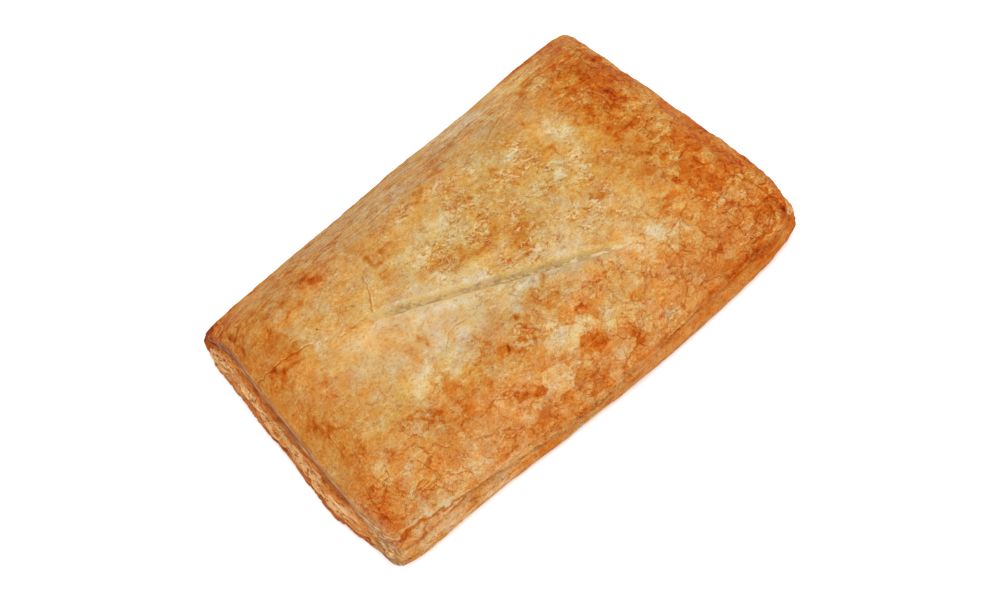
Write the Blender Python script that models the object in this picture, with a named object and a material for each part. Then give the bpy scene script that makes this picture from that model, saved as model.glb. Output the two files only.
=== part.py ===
"""A lobiani: bean-filled puff pastry folded into a flat rectangle and baked golden.

It is one solid, in metres, +Z up, with its long axis along X and its origin under its middle.
At both ends, where the dough was cut, the browned top sheet curls down as a lip over a
crevice, and the baked layers stand out below it. The sides at +Y and -Y are folds of the
dough. A knife slit runs slantwise across the top.
"""

import math

import bmesh
import bpy
import numpy as np

# Overall size
LENGTH = 0.200
WIDTH = 0.1318
HEIGHT = 0.0300

# The side of the pastry is drawn by how far it stands out past the rim of the top, at each
# fraction of the way down from the rim, 0, to the base, 1.

# The folded sides: an upper roll, a crease, and the lower sheet, which stands out furthest
# and then goes under. The far roll is even. The near one swells out over the crease.
FOLD_REACH = 0.0060
FAR_ROLL_REACH = 0.0050
ROLL_REACH = 0.0034
ROLL_DOWN = 0.40
ROLL_ROUNDING = 1.7
ROLL_SWELL = 0.0028
ROLL_SWELL_X = -0.010
ROLL_SWELL_WIDTH = 0.026
ROLL_WANDER = 0.0005
ROLL_WANDER_CELL = 0.020
FOLD_CREASE = 0.0012
CREASE_DOWN = 0.42
CREASE_HALF_HEIGHT = 0.07
CREASE_LEFT_ON_SWELL = 0.2
LOWER_SHEET_SPAN = 0.24
FOLD_UNDER = 0.0034
UNDER_DOWN = 0.76
UNDER_ROUNDING = 1.6

# The cut ends: the lip of the top sheet, the crevice under it, and the baked layers, which
# fan out to the foot
LIP_REACH = 0.0026
LIP_DOWN = 0.20
LIP_ROUNDING = 1.6
CREVICE_DEPTH = 0.0034
CREVICE_DOWN = 0.33
CREVICE_HALF_HEIGHT = 0.075
CREVICE_UNEVEN = 0.35
CREVICE_UNEVEN_CELL = 0.016
CUT_LAYERS_REACH = 0.0098
PLAIN_LAYERS_REACH = 0.0070
FAN_SPAN = 0.57
FAN_ROUNDING = 0.9
FOOT_DEPTH = 0.0012
FOOT_DOWN = 0.90
LAYER_RELIEF = 0.0004
LAYER_COUNT = 7
LAYER_UNEVEN_CELL = 0.012
LAYERS_FROM = 0.40
LAYERS_TO = 0.99
LAYERS_FADE = 0.06
END_EASE = 0.014

# Where the layers have broken away: y, depth and half-width of each place
CUT_BREAKS = ((-0.046, 0.0024, 0.011), (0.000, 0.0012, 0.012))
PLAIN_BREAKS = ((0.030, 0.0014, 0.022),)

# The top: its crown, and its fall towards the folded sides and the cut ends
CROWN = 0.0020
SIDE_FALL = 0.0132
SIDE_FALL_WIDTH = 0.027
END_FALL = 0.0084
END_FALL_WIDTH = 0.021
FALL_ROUNDING = 2.1
CORNER_BLEND = 2.6

# The outline is uneven. The cut end bows and has an ear at its far corner, the other end is
# skewed, and the sides taper towards the cut end.
CUT_END_BOW = 0.0016
CUT_END_BOW_W = -0.3
CUT_END_EAR = 0.0032
PLAIN_END_SKEW = 0.0034
PLAIN_END_TURN_W = -0.5
PLAIN_END_TURN_ROUNDING = 0.2
PLAIN_END_EAR = 0.0012
EAR_FROM_W = 0.7
FAR_SIDE_TAPER = 0.0034
NEAR_SIDE_TAPER = 0.0056
NEAR_TAPER_FROM_U = -0.8
NEAR_TAPER_SPAN_U = 1.1
NEAR_SIDE_RETURN = 0.0010
NEAR_RETURN_FROM_U = 0.4

# Corner sharpness at each corner, the higher the sharper
CORNER_CUT_FAR = 36.0
CORNER_CUT_NEAR = 18.0
CORNER_PLAIN_FAR = 30.0
CORNER_PLAIN_NEAR = 9.5
CORNER_MITRE = 6.0

# The slit: the line that it follows, its length, width and depth, and its raised lips
SLIT_SLOPE = -0.520
SLIT_MIDDLE_X = 0.0
SLIT_MIDDLE_Y = -0.0155
SLIT_BEND_REACH = 0.045
SLIT_START_X = -0.052
SLIT_END_X = 0.042
SLIT_FADE = 0.018
SLIT_HALF_WIDTH = 0.0022
SLIT_DEPTH = 0.0018
SLIT_WALL_POWER = 0.8
SLIT_LIP_RISE = 0.0004
SLIT_LIP_WIDTH = 0.0016
SLIT_LIP_OFFSET = 0.0028

# Relief of the top: slow waves, and blisters where the sheet puffed
WAVE_HEIGHT = 0.0008
WAVE_CELL = 0.026
BLISTER_HEIGHT = 0.00045
BLISTER_CELL = 0.0075
BLISTER_AREA_CELL = 0.030
BLISTER_AREA_CONTRAST = 1.4
EDGE_WANDER = 0.0007
EDGE_WANDER_CELL = 0.011
EDGE_WANDER_DRIFT = 0.3
NOISE_TABLE = 64
SEEDS = {"wave": 3, "area": 5, "blister": 8, "roll": 13, "crevice": 17, "layer": 19, "edge": 21}

# Mesh: columns along X, rows each side of the slit's line, rings down the side
COLUMNS = 64
ROWS_NEAR = 17
ROWS_FAR = 23
RINGS = 14
SLIT_ROW_GATHER = 0.30
SLIT_ROW_EASE = 2.2
SLIT_ROW_STEPS = 5

CRUST_COLOUR = (0.62, 0.33, 0.11, 1.0)
CRUST_ROUGHNESS = 0.5


def smooth_step(t):
    """0 to 1 with level ends."""
    t = np.clip(t, 0.0, 1.0)
    return t * t * (3.0 - 2.0 * t)


def bump(t):
    """A round hump, 1 at t = 0."""
    return np.exp(-t * t)


def mix(a, b, t):
    return a + (b - a) * t


def lattice_noise(x, y, cell, name):
    """Smooth noise from -1 to 1, with features about one cell across."""
    table = np.random.RandomState(SEEDS[name]).uniform(-1.0, 1.0, (NOISE_TABLE, NOISE_TABLE))
    gx, gy = x / cell, y / cell
    ix, iy = np.floor(gx).astype(int), np.floor(gy).astype(int)
    fx, fy = smooth_step(gx - ix), smooth_step(gy - iy)

    def at(dx, dy):
        return table[(ix + dx) % NOISE_TABLE, (iy + dy) % NOISE_TABLE]

    return mix(mix(at(0, 0), at(1, 0), fx), mix(at(0, 1), at(1, 1), fx), fy)


def side_far(u):
    """Y of the top's rim along the +Y fold, for u from -1 at the cut end to 1."""
    return WIDTH / 2 - FOLD_REACH - FAR_SIDE_TAPER * (1.0 - u) / 2.0


def side_near(u):
    """Y of the top's rim along the -Y fold, which swells past the middle."""
    taper = NEAR_SIDE_TAPER * (1.0 - smooth_step((u - NEAR_TAPER_FROM_U) / NEAR_TAPER_SPAN_U))
    past = np.clip(u - NEAR_RETURN_FROM_U, 0.0, 1.0) / (1.0 - NEAR_RETURN_FROM_U)
    return -(WIDTH / 2 - FOLD_REACH - taper - NEAR_SIDE_RETURN * past**2)


def end_cut(w):
    """X of the top's rim along the cut end, for w from -1 at -Y to 1."""
    bow = CUT_END_BOW * (w - CUT_END_BOW_W) ** 2
    ear = CUT_END_EAR * smooth_step((w - EAR_FROM_W) / (1.0 - EAR_FROM_W))
    return -(LENGTH / 2 - CUT_LAYERS_REACH - bow + ear)


def end_plain(w):
    """X of the top's rim along the other end, which is skewed."""
    s = w - PLAIN_END_TURN_W
    skew = PLAIN_END_SKEW * (np.hypot(s, PLAIN_END_TURN_ROUNDING) + s) / 2.0
    ear = PLAIN_END_EAR * smooth_step((w - EAR_FROM_W) / (1.0 - EAR_FROM_W))
    return LENGTH / 2 - PLAIN_LAYERS_REACH - skew + ear


def slit_y(x):
    """Y of the slit's line at x. The line bends to run out near both ends."""
    s = SLIT_SLOPE * (x - SLIT_MIDDLE_X) / SLIT_BEND_REACH
    return SLIT_MIDDLE_Y + SLIT_BEND_REACH * s / (1.0 + s**4) ** 0.25


def slit_row(u):
    """The height, from -1 to 1 across the top, at which the slit's line lies at u."""
    w = np.zeros_like(u)
    for _ in range(SLIT_ROW_STEPS):
        x = mix(end_cut(w), end_plain(w), (u + 1.0) / 2.0)
        w = 2.0 * (slit_y(x) - side_near(u)) / (side_far(u) - side_near(u)) - 1.0
    return w


def gather(t):
    """Spaces the rows from the slit at 0 to a side at 1, closer together by the slit."""
    return t * (SLIT_ROW_GATHER + (1.0 - SLIT_ROW_GATHER) * smooth_step(SLIT_ROW_EASE * t))


def row_place(u, v):
    """Moves even rows, v from -1 to 1, so that one of them runs along the slit."""
    middle = 2.0 * ROWS_NEAR / (ROWS_NEAR + ROWS_FAR) - 1.0
    w = slit_row(u)
    above = gather(np.clip((v - middle) / (1.0 - middle), 0.0, 1.0))
    below = gather(np.clip((middle - v) / (1.0 + middle), 0.0, 1.0))
    return w + (1.0 - w) * above - (1.0 + w) * below


def corner_power(u, w):
    """How sharp the nearest corner is."""
    to_plain, to_far = smooth_step(u + 0.5), smooth_step(w + 0.5)
    near = mix(CORNER_CUT_NEAR, CORNER_PLAIN_NEAR, to_plain)
    far = mix(CORNER_CUT_FAR, CORNER_PLAIN_FAR, to_plain)
    return mix(near, far, to_far)


def top_place(u, v):
    """X and Y of a point of the top, and its u and w with the corners drawn in."""
    w = row_place(u, v)
    power = corner_power(u, w)
    pull = 1.0 - np.abs(u * w) ** power / (2.0 * power + 1.0)
    u, w = u * pull, w * pull
    x = mix(end_cut(w), end_plain(w), (u + 1.0) / 2.0)
    y = mix(side_near(u), side_far(u), (w + 1.0) / 2.0)
    return x, y, u, w


def fall(distance, width, drop):
    """How far the top has dropped at a distance from an edge."""
    return drop * np.clip(1.0 - distance / width, 0.0, 1.0) ** FALL_ROUNDING


def slit_relief(x, y):
    """The slit's groove and its raised lips."""
    across = (y - slit_y(x)) * math.cos(math.atan(SLIT_SLOPE))
    along = smooth_step((x - SLIT_START_X) / SLIT_FADE) * smooth_step((SLIT_END_X - x) / SLIT_FADE)
    inside = np.clip(1.0 - np.abs(across) / SLIT_HALF_WIDTH, 0.0, 1.0)
    groove = -SLIT_DEPTH * inside**SLIT_WALL_POWER
    lips = SLIT_LIP_RISE * bump((np.abs(across) - SLIT_LIP_OFFSET) / SLIT_LIP_WIDTH)
    return (groove + lips) * along


def top_height(x, y, u, w):
    """Height of the top: a crowned plateau that falls to every edge, with its relief."""
    to_side = np.minimum(y - side_near(u), side_far(u) - y)
    to_end = np.minimum(x - end_cut(w), end_plain(w) - x)
    side_drop = fall(to_side, SIDE_FALL_WIDTH, SIDE_FALL)
    end_drop = fall(to_end, END_FALL_WIDTH, END_FALL)
    drop = (side_drop**CORNER_BLEND + end_drop**CORNER_BLEND) ** (1.0 / CORNER_BLEND)
    crown = CROWN * (u * u + w * w) / 2.0
    waves = WAVE_HEIGHT * lattice_noise(x, y, WAVE_CELL, "wave")
    area = lattice_noise(x, y, BLISTER_AREA_CELL, "area")
    blistered = smooth_step(0.5 + BLISTER_AREA_CONTRAST * area)
    blisters = BLISTER_HEIGHT * blistered * lattice_noise(x, y, BLISTER_CELL, "blister")
    return HEIGHT - WAVE_HEIGHT - drop - crown + waves + blisters + slit_relief(x, y)


def fold_reach(down, x, y):
    """How far a folded side stands out at this fraction of the way down."""
    swell = bump((x - ROLL_SWELL_X) / ROLL_SWELL_WIDTH)
    wander = ROLL_WANDER * lattice_noise(x, y, ROLL_WANDER_CELL, "roll")
    roll = np.where(y > 0.0, FAR_ROLL_REACH, ROLL_REACH + ROLL_SWELL * swell) + wander
    upper = roll * (1.0 - (1.0 - np.clip(down / ROLL_DOWN, 0.0, 1.0)) ** ROLL_ROUNDING)
    lower = (FOLD_REACH - roll) * smooth_step((down - CREASE_DOWN) / LOWER_SHEET_SPAN)
    under = FOLD_UNDER * np.clip((down - UNDER_DOWN) / (1.0 - UNDER_DOWN), 0.0, 1.0) ** UNDER_ROUNDING
    open_crease = mix(1.0, CREASE_LEFT_ON_SWELL, swell)
    crease = FOLD_CREASE * open_crease * bump((down - CREASE_DOWN) / CREASE_HALF_HEIGHT)
    return upper + lower - crease - under


def breaks(y, places):
    """How much of the layers is missing at y."""
    return sum(depth * bump((y - place) / width) for place, depth, width in places)


def end_reach(down, x, y):
    """How far a cut end stands out: lip, crevice, then the layers spreading to the foot."""
    lip = LIP_REACH * (1.0 - (1.0 - np.clip(down / LIP_DOWN, 0.0, 1.0)) ** LIP_ROUNDING)
    uneven = 1.0 + CREVICE_UNEVEN * lattice_noise(x, y, CREVICE_UNEVEN_CELL, "crevice")
    crevice = CREVICE_DEPTH * uneven * bump((down - CREVICE_DOWN) / CREVICE_HALF_HEIGHT)
    cut_layers = CUT_LAYERS_REACH - breaks(y, CUT_BREAKS)
    plain_layers = PLAIN_LAYERS_REACH - breaks(y, PLAIN_BREAKS)
    layers = np.where(x < 0.0, cut_layers, plain_layers)
    fan = np.clip((down - CREVICE_DOWN) / FAN_SPAN, 0.0, 1.0) ** FAN_ROUNDING
    foot = FOOT_DEPTH * smooth_step((down - FOOT_DOWN) / (1.0 - FOOT_DOWN))
    ease_in = smooth_step((down - LAYERS_FROM) / LAYERS_FADE)
    ease_out = smooth_step((LAYERS_TO - down) / LAYERS_FADE)
    height = LAYER_RELIEF * (1.0 + lattice_noise(x, y, LAYER_UNEVEN_CELL, "layer"))
    relief = height * ease_in * ease_out * math.cos(2.0 * math.pi * LAYER_COUNT * down)
    return lip - crevice + (layers - LIP_REACH) * fan - foot + relief


def station_of(i, j, columns, rows):
    """Number of a rim point, counted anticlockwise from the corner at -X, -Y."""
    if j == 0:
        return i
    if i == columns:
        return columns + j
    if j == rows:
        return columns + rows + (columns - i)
    return 2 * columns + rows + (rows - j)


def outward(u, w):
    """Way out of the rim in plan: square to each edge, and slantwise at the corners."""
    return np.stack([np.sign(u) * np.abs(u) ** CORNER_MITRE, np.sign(w) * np.abs(w) ** CORNER_MITRE], 1)


def make_top(mesh, columns, rows):
    """Shapes a grid into the top, and returns its rim by station, as a dictionary."""
    station_layer = mesh.verts.layers.int.new("station")
    bmesh.ops.create_grid(mesh, x_segments=columns, y_segments=rows, size=1.0)
    mesh.verts.ensure_lookup_table()
    grid = np.array([vert.co[:2] for vert in mesh.verts])
    x, y, u, w = top_place(grid[:, 0], grid[:, 1])
    z = top_height(x, y, u, w)

    rim = np.zeros(2 * (columns + rows), dtype=int)
    for vert, (a, b) in zip(mesh.verts, grid):
        vert.co = x[vert.index], y[vert.index], z[vert.index]
        i, j = round((a + 1.0) * columns / 2.0), round((b + 1.0) * rows / 2.0)
        if i in (0, columns) or j in (0, rows):
            vert[station_layer] = station_of(i, j, columns, rows)
            rim[vert[station_layer]] = vert.index
    at_end = (np.abs(grid[rim, 0]) > 1.0 - 1.0 / columns) * 1.0
    ease = smooth_step((1.0 - np.abs(w[rim])) * WIDTH / 2.0 / END_EASE)
    return {
        "layer": station_layer,
        "place": np.column_stack([x[rim], y[rim]]),
        "height": z[rim],
        "outward": outward(u[rim], w[rim]),
        "on_end": at_end * ease,
    }


def side_ring(down, rim):
    """The points of the ring that lies this far down the side."""
    x, y = rim["place"].T
    reach = mix(fold_reach(down, x, y), end_reach(down, x, y), rim["on_end"])
    wander = lattice_noise(x + EDGE_WANDER_DRIFT * down, y, EDGE_WANDER_CELL, "edge")
    reach = reach + EDGE_WANDER * math.sin(math.pi * down) * wander
    points = rim["place"] + rim["outward"] * reach[:, None]
    return np.column_stack([points, rim["height"] * (1.0 - down)])


def make_side(mesh, rim):
    """Draws the rim down ring by ring, and closes it with the flat base."""
    ring = [edge for edge in mesh.edges if edge.is_boundary]
    for step in range(1, RINGS + 1):
        points = side_ring(step / RINGS, rim)
        drawn = bmesh.ops.extrude_edge_only(mesh, edges=ring)["geom"]
        ring = [item for item in drawn if isinstance(item, bmesh.types.BMEdge)]
        for vert in (item for item in drawn if isinstance(item, bmesh.types.BMVert)):
            vert.co = points[vert[rim["layer"]]]
    bmesh.ops.contextual_create(mesh, geom=ring)
    bmesh.ops.recalc_face_normals(mesh, faces=mesh.faces)


def crust_material():
    """Browned, egg-washed pastry."""
    material = bpy.data.materials.new("crust")
    material.use_nodes = True
    shader = material.node_tree.nodes["Principled BSDF"]
    shader.inputs["Base Color"].default_value = CRUST_COLOUR
    shader.inputs["Roughness"].default_value = CRUST_ROUGHNESS
    shader.inputs["Metallic"].default_value = 0.0
    return material


def make_pastry(collection):
    """The whole pastry as one closed body."""
    mesh = bmesh.new()
    rim = make_top(mesh, COLUMNS, ROWS_NEAR + ROWS_FAR)
    make_side(mesh, rim)
    data = bpy.data.meshes.new("pastry")
    mesh.to_mesh(data)
    mesh.free()
    data.materials.append(crust_material())
    data.shade_smooth()
    pastry = bpy.data.objects.new("pastry", data)
    collection.objects.link(pastry)
    return pastry


def main():
    for leftover in list(bpy.data.objects):
        bpy.data.objects.remove(leftover, do_unlink=True)
    collection = bpy.data.collections.new("lobiani")
    bpy.context.scene.collection.children.link(collection)
    make_pastry(collection)


main()
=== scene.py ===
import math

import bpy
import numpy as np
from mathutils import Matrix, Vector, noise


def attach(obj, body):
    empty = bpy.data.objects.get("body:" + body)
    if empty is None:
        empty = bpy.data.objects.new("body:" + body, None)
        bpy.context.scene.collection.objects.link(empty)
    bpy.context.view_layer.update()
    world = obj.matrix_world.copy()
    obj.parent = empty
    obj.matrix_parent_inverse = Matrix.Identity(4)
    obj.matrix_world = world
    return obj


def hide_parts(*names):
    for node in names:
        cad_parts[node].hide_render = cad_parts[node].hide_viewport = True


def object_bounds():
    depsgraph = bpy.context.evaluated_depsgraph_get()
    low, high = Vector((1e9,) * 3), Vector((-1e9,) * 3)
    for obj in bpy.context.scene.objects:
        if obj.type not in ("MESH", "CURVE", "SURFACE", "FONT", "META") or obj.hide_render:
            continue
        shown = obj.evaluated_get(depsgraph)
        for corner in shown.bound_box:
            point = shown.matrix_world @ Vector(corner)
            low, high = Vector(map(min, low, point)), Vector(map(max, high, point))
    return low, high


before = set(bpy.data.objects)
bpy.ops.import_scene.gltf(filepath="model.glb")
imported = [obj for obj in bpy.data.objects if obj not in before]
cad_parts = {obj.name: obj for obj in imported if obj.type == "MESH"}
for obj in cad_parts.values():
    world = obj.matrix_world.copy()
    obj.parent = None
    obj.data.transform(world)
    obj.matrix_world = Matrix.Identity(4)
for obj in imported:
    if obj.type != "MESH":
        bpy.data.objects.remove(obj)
cad_low, cad_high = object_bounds()

# The looks of the lobiani: its baked crust with blisters, veins, cracks and the knife slit, the
# layers that stand out at its cut ends, and the floor, light and camera. Lengths are in metres,
# but for the tables of the fine surface, in the part's frame: +X runs to the plain end, +Y to the
# far fold, +Z up, origin under the middle.

# The form, with the same sizes as the solid

LENGTH = 0.200
WIDTH = 0.1318
HEIGHT = 0.0300

# The folded sides: an upper roll, a crease, and the lower sheet, which goes under at the foot
FOLD_REACH = 0.0060
FAR_ROLL_REACH = 0.0050
ROLL_REACH = 0.0034
ROLL_DOWN = 0.40
ROLL_ROUNDING = 1.7
ROLL_SWELL = 0.0028
ROLL_SWELL_X = -0.010
ROLL_SWELL_WIDTH = 0.026
ROLL_WANDER = 0.0005
ROLL_WANDER_CELL = 0.020
FOLD_CREASE = 0.0012
CREASE_DOWN = 0.42
CREASE_HALF_HEIGHT = 0.07
CREASE_LEFT_ON_SWELL = 0.2
LOWER_SHEET_SPAN = 0.24
FOLD_UNDER = 0.0034
UNDER_DOWN = 0.76
UNDER_ROUNDING = 1.6

# The cut ends: lip, crevice, and the baked layers, which fan out to the foot
LIP_REACH = 0.0026
LIP_DOWN = 0.20
LIP_ROUNDING = 1.6
CREVICE_DEPTH = 0.0034
CREVICE_DOWN = 0.33
CREVICE_HALF_HEIGHT = 0.075
CREVICE_UNEVEN = 0.35
CREVICE_UNEVEN_CELL = 0.016
CUT_LAYERS_REACH = 0.0098
PLAIN_LAYERS_REACH = 0.0070
FAN_SPAN = 0.57
FAN_ROUNDING = 0.9
FOOT_DEPTH = 0.0012
FOOT_DOWN = 0.90
END_EASE = 0.014

# Where the layers have broken away: y, depth and half-width of each place
CUT_BREAKS = ((-0.046, 0.0024, 0.011), (0.000, 0.0012, 0.012))
PLAIN_BREAKS = ((0.030, 0.0014, 0.022),)

# The top: its crown, and its fall towards the folded sides and the cut ends
CROWN = 0.0020
SIDE_FALL = 0.0132
SIDE_FALL_WIDTH = 0.027
END_FALL = 0.0084
END_FALL_WIDTH = 0.021
FALL_ROUNDING = 2.1
CORNER_BLEND = 2.6

# The uneven outline
CUT_END_BOW = 0.0016
CUT_END_BOW_W = -0.3
CUT_END_EAR = 0.0032
PLAIN_END_SKEW = 0.0034
PLAIN_END_TURN_W = -0.5
PLAIN_END_TURN_ROUNDING = 0.2
PLAIN_END_EAR = 0.0012
EAR_FROM_W = 0.7
FAR_SIDE_TAPER = 0.0034
NEAR_SIDE_TAPER = 0.0056
NEAR_TAPER_FROM_U = -0.8
NEAR_TAPER_SPAN_U = 1.1
NEAR_SIDE_RETURN = 0.0010
NEAR_RETURN_FROM_U = 0.4

# Corner sharpness at each corner, the higher the sharper
CORNER_CUT_FAR = 36.0
CORNER_CUT_NEAR = 18.0
CORNER_PLAIN_FAR = 30.0
CORNER_PLAIN_NEAR = 9.5
CORNER_MITRE = 6.0

# The slit: the line that it follows, its length, width and depth, and its raised lips
SLIT_SLOPE = -0.520
SLIT_MIDDLE_X = 0.0
SLIT_MIDDLE_Y = -0.0155
SLIT_BEND_REACH = 0.045
SLIT_START_X = -0.052
SLIT_END_X = 0.042
SLIT_FADE = 0.018
SLIT_HALF_WIDTH = 0.0022
SLIT_DEPTH = 0.0018
SLIT_ROUNDING = 0.0013
SLIT_LIP_RISE = 0.0004
SLIT_LIP_WIDTH = 0.0016
SLIT_LIP_OFFSET = 0.0028

# Slow relief of the top, as in the solid
WAVE_HEIGHT = 0.0008
WAVE_CELL = 0.026
BLISTER_HEIGHT = 0.00045
BLISTER_CELL = 0.0075
BLISTER_AREA_CELL = 0.030
BLISTER_AREA_CONTRAST = 1.4
EDGE_WANDER = 0.0007
EDGE_WANDER_CELL = 0.011
EDGE_WANDER_DRIFT = 0.3
NOISE_TABLE = 64
SEEDS = {"wave": 3, "area": 5, "blister": 8, "roll": 13, "crevice": 17, "edge": 21}

# Mesh of the crust: columns along X, rows each side of the slit's line, rings down the side
COLUMNS = 298
ROWS_NEAR = 80
ROWS_FAR = 114
ROWS = ROWS_NEAR + ROWS_FAR
RINGS = 38
SLIT_ROW_GATHER = 0.50
SLIT_ROW_EASE = 2.2
SLIT_ROW_STEPS = 5
BASE_INSET = 0.97

# Fractal noise of Blender's kind has this spread before it is scaled to a spread of one
NOISE_SPREAD = 0.32


def smooth_step(t):
    """0 to 1 with level ends."""
    t = np.clip(t, 0.0, 1.0)
    return t * t * (3.0 - 2.0 * t)


def bump(t):
    """A round hump, 1 at t = 0."""
    return np.exp(-t * t)


def mix(a, b, t):
    return a + (b - a) * t


def lattice_noise(x, y, cell, name):
    """Smooth noise from -1 to 1, with features about one cell across, as in the solid."""
    table = np.random.RandomState(SEEDS[name]).uniform(-1.0, 1.0, (NOISE_TABLE, NOISE_TABLE))
    gx, gy = x / cell, y / cell
    ix, iy = np.floor(gx).astype(int), np.floor(gy).astype(int)
    fx, fy = smooth_step(gx - ix), smooth_step(gy - iy)

    def at(dx, dy):
        return table[(ix + dx) % NOISE_TABLE, (iy + dy) % NOISE_TABLE]

    return mix(mix(at(0, 0), at(1, 0), fx), mix(at(0, 1), at(1, 1), fx), fy)


def side_far(u):
    """Y of the top's rim along the +Y fold, for u from -1 at the cut end to 1."""
    return WIDTH / 2 - FOLD_REACH - FAR_SIDE_TAPER * (1.0 - u) / 2.0


def side_near(u):
    """Y of the top's rim along the -Y fold, which swells past the middle."""
    taper = NEAR_SIDE_TAPER * (1.0 - smooth_step((u - NEAR_TAPER_FROM_U) / NEAR_TAPER_SPAN_U))
    back_in = np.clip(u - NEAR_RETURN_FROM_U, 0.0, 1.0) / (1.0 - NEAR_RETURN_FROM_U)
    return -(WIDTH / 2 - FOLD_REACH - taper - NEAR_SIDE_RETURN * back_in**2)


def end_cut(w):
    """X of the top's rim along the cut end, for w from -1 at -Y to 1."""
    bow = CUT_END_BOW * (w - CUT_END_BOW_W) ** 2
    ear = CUT_END_EAR * smooth_step((w - EAR_FROM_W) / (1.0 - EAR_FROM_W))
    return -(LENGTH / 2 - CUT_LAYERS_REACH - bow + ear)


def end_plain(w):
    """X of the top's rim along the other end, which is skewed."""
    s = w - PLAIN_END_TURN_W
    skew = PLAIN_END_SKEW * (np.hypot(s, PLAIN_END_TURN_ROUNDING) + s) / 2.0
    ear = PLAIN_END_EAR * smooth_step((w - EAR_FROM_W) / (1.0 - EAR_FROM_W))
    return LENGTH / 2 - PLAIN_LAYERS_REACH - skew + ear


def slit_y(x):
    """Y of the slit's line at x. The line bends to run out near both ends."""
    s = SLIT_SLOPE * (x - SLIT_MIDDLE_X) / SLIT_BEND_REACH
    return SLIT_MIDDLE_Y + SLIT_BEND_REACH * s / (1.0 + s**4) ** 0.25


def slit_row(u):
    """The height, from -1 to 1 across the top, at which the slit's line lies at u."""
    w = np.zeros_like(u)
    for _ in range(SLIT_ROW_STEPS):
        x = mix(end_cut(w), end_plain(w), (u + 1.0) / 2.0)
        w = 2.0 * (slit_y(x) - side_near(u)) / (side_far(u) - side_near(u)) - 1.0
    return w


def gather(t):
    """Spaces the rows from the slit at 0 to a side at 1, closer together by the slit."""
    return t * (SLIT_ROW_GATHER + (1.0 - SLIT_ROW_GATHER) * smooth_step(SLIT_ROW_EASE * t))


def row_place(u, v):
    """Moves even rows, v from -1 to 1, so that one of them runs along the slit."""
    middle = 2.0 * ROWS_NEAR / ROWS - 1.0
    w = slit_row(u)
    above = gather(np.clip((v - middle) / (1.0 - middle), 0.0, 1.0))
    below = gather(np.clip((middle - v) / (1.0 + middle), 0.0, 1.0))
    return w + (1.0 - w) * above - (1.0 + w) * below


def corner_power(u, w):
    """How sharp the nearest corner is."""
    to_plain, to_far = smooth_step(u + 0.5), smooth_step(w + 0.5)
    near = mix(CORNER_CUT_NEAR, CORNER_PLAIN_NEAR, to_plain)
    far = mix(CORNER_CUT_FAR, CORNER_PLAIN_FAR, to_plain)
    return mix(near, far, to_far)


def top_place(u, v):
    """X and Y of a point of the top, and its u and w with the corners drawn in."""
    w = row_place(u, v)
    power = corner_power(u, w)
    pull = 1.0 - np.abs(u * w) ** power / (2.0 * power + 1.0)
    u, w = u * pull, w * pull
    x = mix(end_cut(w), end_plain(w), (u + 1.0) / 2.0)
    y = mix(side_near(u), side_far(u), (w + 1.0) / 2.0)
    return x, y, u, w


def fall(distance, width, drop):
    """How far the top has dropped at a distance from an edge."""
    return drop * np.clip(1.0 - distance / width, 0.0, 1.0) ** FALL_ROUNDING


def slit_across(x, y):
    """Signed distance from the slit's line, positive on its +Y side."""
    return (y - slit_y(x)) * math.cos(math.atan(SLIT_SLOPE))


def slit_along(x):
    """1 along the slit, easing to 0 at both of its ends."""
    return smooth_step((x - SLIT_START_X) / SLIT_FADE) * smooth_step((SLIT_END_X - x) / SLIT_FADE)


def slit_relief(x, y):
    """The slit's groove and its raised lips."""
    across = np.abs(slit_across(x, y))
    groove = -SLIT_DEPTH * bump(across / SLIT_ROUNDING)
    lips = SLIT_LIP_RISE * bump((across - SLIT_LIP_OFFSET) / SLIT_LIP_WIDTH)
    return (groove + lips) * slit_along(x)


def top_height(x, y, u, w):
    """Height of the top: a crowned plateau that falls to every edge, with its slow relief."""
    to_side = np.minimum(y - side_near(u), side_far(u) - y)
    to_end = np.minimum(x - end_cut(w), end_plain(w) - x)
    side_drop = fall(to_side, SIDE_FALL_WIDTH, SIDE_FALL)
    end_drop = fall(to_end, END_FALL_WIDTH, END_FALL)
    drop = (side_drop**CORNER_BLEND + end_drop**CORNER_BLEND) ** (1.0 / CORNER_BLEND)
    crown = CROWN * (u * u + w * w) / 2.0
    waves = WAVE_HEIGHT * lattice_noise(x, y, WAVE_CELL, "wave")
    area = lattice_noise(x, y, BLISTER_AREA_CELL, "area")
    blistered = smooth_step(0.5 + BLISTER_AREA_CONTRAST * area)
    blisters = BLISTER_HEIGHT * blistered * lattice_noise(x, y, BLISTER_CELL, "blister")
    return HEIGHT - WAVE_HEIGHT - drop - crown + waves + blisters + slit_relief(x, y)


def fold_reach(down, x, y):
    """How far a folded side stands out at this fraction of the way down."""
    swell = bump((x - ROLL_SWELL_X) / ROLL_SWELL_WIDTH)
    wander = ROLL_WANDER * lattice_noise(x, y, ROLL_WANDER_CELL, "roll")
    roll = np.where(y > 0.0, FAR_ROLL_REACH, ROLL_REACH + ROLL_SWELL * swell) + wander
    upper = roll * (1.0 - (1.0 - np.clip(down / ROLL_DOWN, 0.0, 1.0)) ** ROLL_ROUNDING)
    lower = (FOLD_REACH - roll) * smooth_step((down - CREASE_DOWN) / LOWER_SHEET_SPAN)
    under = FOLD_UNDER * np.clip((down - UNDER_DOWN) / (1.0 - UNDER_DOWN), 0.0, 1.0) ** UNDER_ROUNDING
    open_crease = mix(1.0, CREASE_LEFT_ON_SWELL, swell)
    crease = FOLD_CREASE * open_crease * bump((down - CREASE_DOWN) / CREASE_HALF_HEIGHT)
    return upper + lower - crease - under


def breaks(y, places):
    """How much of the layers is missing at y."""
    return sum(depth * bump((y - place) / width) for place, depth, width in places)


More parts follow.
